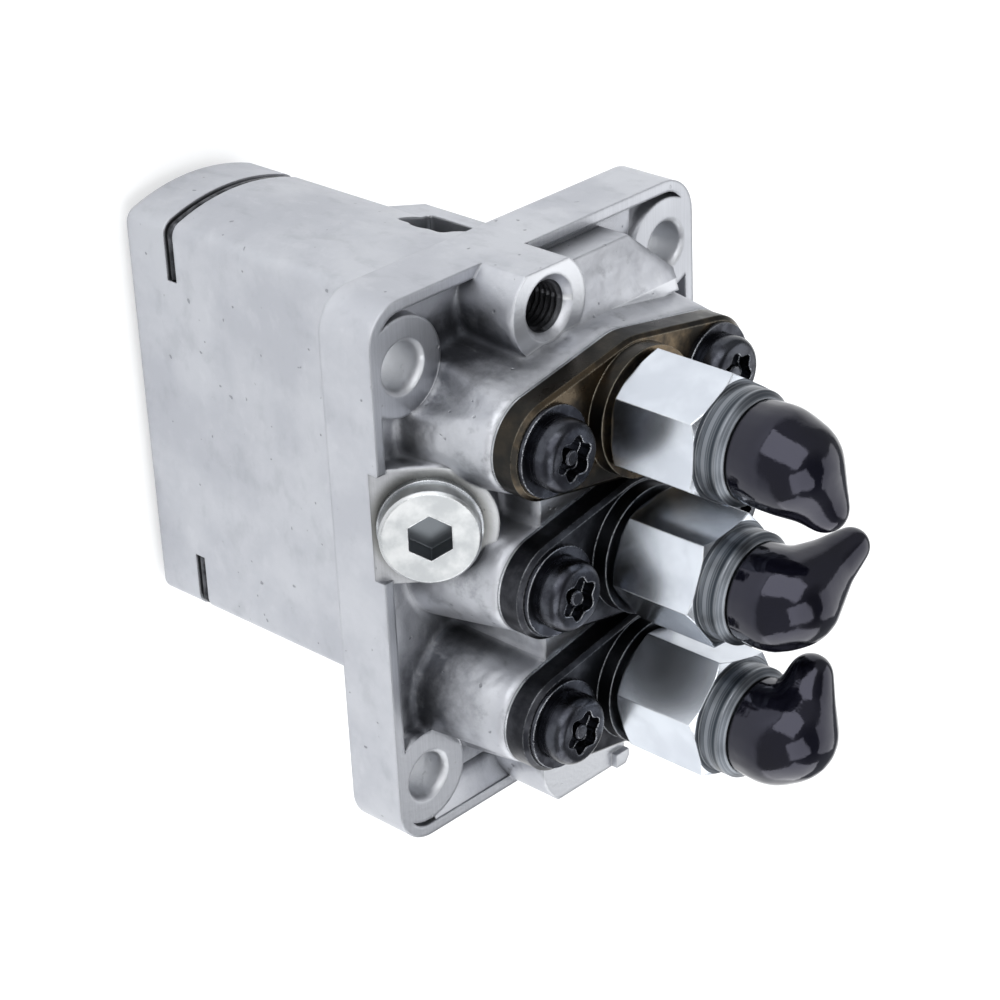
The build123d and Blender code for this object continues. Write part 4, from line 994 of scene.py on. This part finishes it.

# Each spring gets a mesh of its own. Each row gives the height of the fixed end in millimetres
# and the lift in metres.
SPRINGS = [
    ("plunger_spring", "tappet_{}_lift", -28.1, 0.0065),
    ("delivery_valve_spring", "delivery_valve_{}_lift", 27.0, 0.0018),
]
for family, joint, fixed_end, lift in SPRINGS:
    for number in (1, 2, 3):
        spring = nodes[f"{family}_{number}"]
        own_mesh(spring)

# Stage: a camera matched to the photograph, a white sweep and four softboxes round the part
SENSOR_WIDTH = 36.0
LENS = 103.65
FLOOR_RADIUS = 2.5
FLOOR_SIDES = 96
camera_data = bpy.data.cameras.new("camera")
camera_data.sensor_width = SENSOR_WIDTH
camera_data.lens = LENS
camera = bpy.data.objects.new("camera", camera_data)
bpy.context.scene.collection.objects.link(camera)
camera_right = Vector((0.0425, 0.6858, 0.7266))
camera_up = Vector((-0.88927, 0.35746, -0.28534))
camera_back = Vector((-0.45540, -0.63400, 0.62502))
camera_place = Vector((-0.192527, -0.270306, 0.266546))
turn = Matrix((camera_right, camera_up, camera_back)).transposed()
camera.matrix_world = Matrix.Translation(camera_place) @ turn.to_4x4()
bpy.context.scene.camera = camera

floor_mesh = bpy.data.meshes.new("floor")
form = bmesh.new()
bmesh.ops.create_circle(form, cap_ends=True, segments=FLOOR_SIDES, radius=FLOOR_RADIUS)
form.to_mesh(floor_mesh)
form.free()
floor = bpy.data.objects.new("floor", floor_mesh)
floor.location.z = FLOOR_Z
bpy.context.scene.collection.objects.link(floor)
# White paper sweep: a matt floor that the camera sees near white, with the shadow kept
paper = bpy.data.materials.new("paper_sweep")
paper.use_nodes = True
tree = paper.node_tree
tree.nodes.clear()
path = add(tree, "ShaderNodeLightPath")
seen = add(
    tree,
    "ShaderNodeMath",
    {0: path.outputs["Is Camera Ray"], 1: path.outputs["Is Glossy Ray"]},
    operation="MAXIMUM",
).outputs[0]
seen = add(
    tree, "ShaderNodeMath", {0: seen, 1: path.outputs["Is Transmission Ray"]}, operation="MAXIMUM"
).outputs[0]
glow = add(tree, "ShaderNodeMath", {0: seen, 1: 0.38}, operation="MULTIPLY").outputs[0]
matt = add(tree, "ShaderNodeBsdfDiffuse", {"Color": srgb("#dadbdc")})
white = add(tree, "ShaderNodeEmission", {"Color": srgb("#ffffff"), "Strength": glow})
both = add(tree, "ShaderNodeAddShader", {0: matt.outputs[0], 1: white.outputs[0]})
add(tree, "ShaderNodeOutputMaterial", {"Surface": both.outputs[0]})
floor_mesh.materials.append(paper)

# The room is brighter on the key softbox's side and dark straight overhead, which the turned
# and plated faces reflect as their dark bands
KEY_SIDE = (-0.42, -0.78, 0.46)
ROOM_STRENGTH = 0.56
world = bpy.data.worlds.new("studio")
bpy.context.scene.world = world
world.use_nodes = True
tree = world.node_tree
tree.nodes.clear()
direction = add(tree, "ShaderNodeTexCoord").outputs["Generated"]
along = add(
    tree, "ShaderNodeVectorMath", {0: direction, 1: KEY_SIDE}, operation="DOT_PRODUCT"
).outputs["Value"]
key_side = add(
    tree, "ShaderNodeMapRange", {0: along, 1: -0.9, 2: 0.7}, interpolation_type="SMOOTHSTEP"
).outputs[0]
room = add(
    tree, "ShaderNodeMix", {0: key_side, 6: srgb("#b4b8bf"), 7: srgb("#ffffff")}, data_type="RGBA"
).outputs[2]
overhead = add(tree, "ShaderNodeSeparateXYZ", {0: direction}).outputs["Z"]
ceiling = add(
    tree,
    "ShaderNodeMapRange",
    {0: overhead, 1: 0.6, 2: 0.98, 3: 0.0, 4: 0.8},
    interpolation_type="SMOOTHSTEP",
).outputs[0]
room = add(
    tree, "ShaderNodeMix", {0: ceiling, 6: room, 7: srgb("#2a2c33")}, data_type="RGBA"
).outputs[2]
background = add(tree, "ShaderNodeBackground", {"Color": room, "Strength": ROOM_STRENGTH})
add(tree, "ShaderNodeOutputWorld", {"Surface": background.outputs[0]})

# Name, place in metres, width in metres and power in watts
LAMPS = [
    ("key_softbox", (-0.66, -0.4, 0.36), 0.85, 6.3),
    ("top_softbox", (0.15, -0.45, 0.75), 0.7, 3.8),
    ("rim_softbox", (0.8, -0.1, 0.27), 0.8, 4.5),
    ("back_softbox", (0.12, 0.62, 0.66), 0.9, 4.0),
]
for name, place, size, power in LAMPS:
    lamp_data = bpy.data.lights.new(name, "AREA")
    lamp_data.size = size
    lamp_data.energy = power
    lamp = bpy.data.objects.new(name, lamp_data)
    lamp.location = place
    lamp.rotation_mode = "QUATERNION"
    lamp.rotation_quaternion = Vector(place).to_track_quat("Z", "Y")
    bpy.context.scene.collection.objects.link(lamp)

bpy.context.scene.view_settings.view_transform = "Standard"
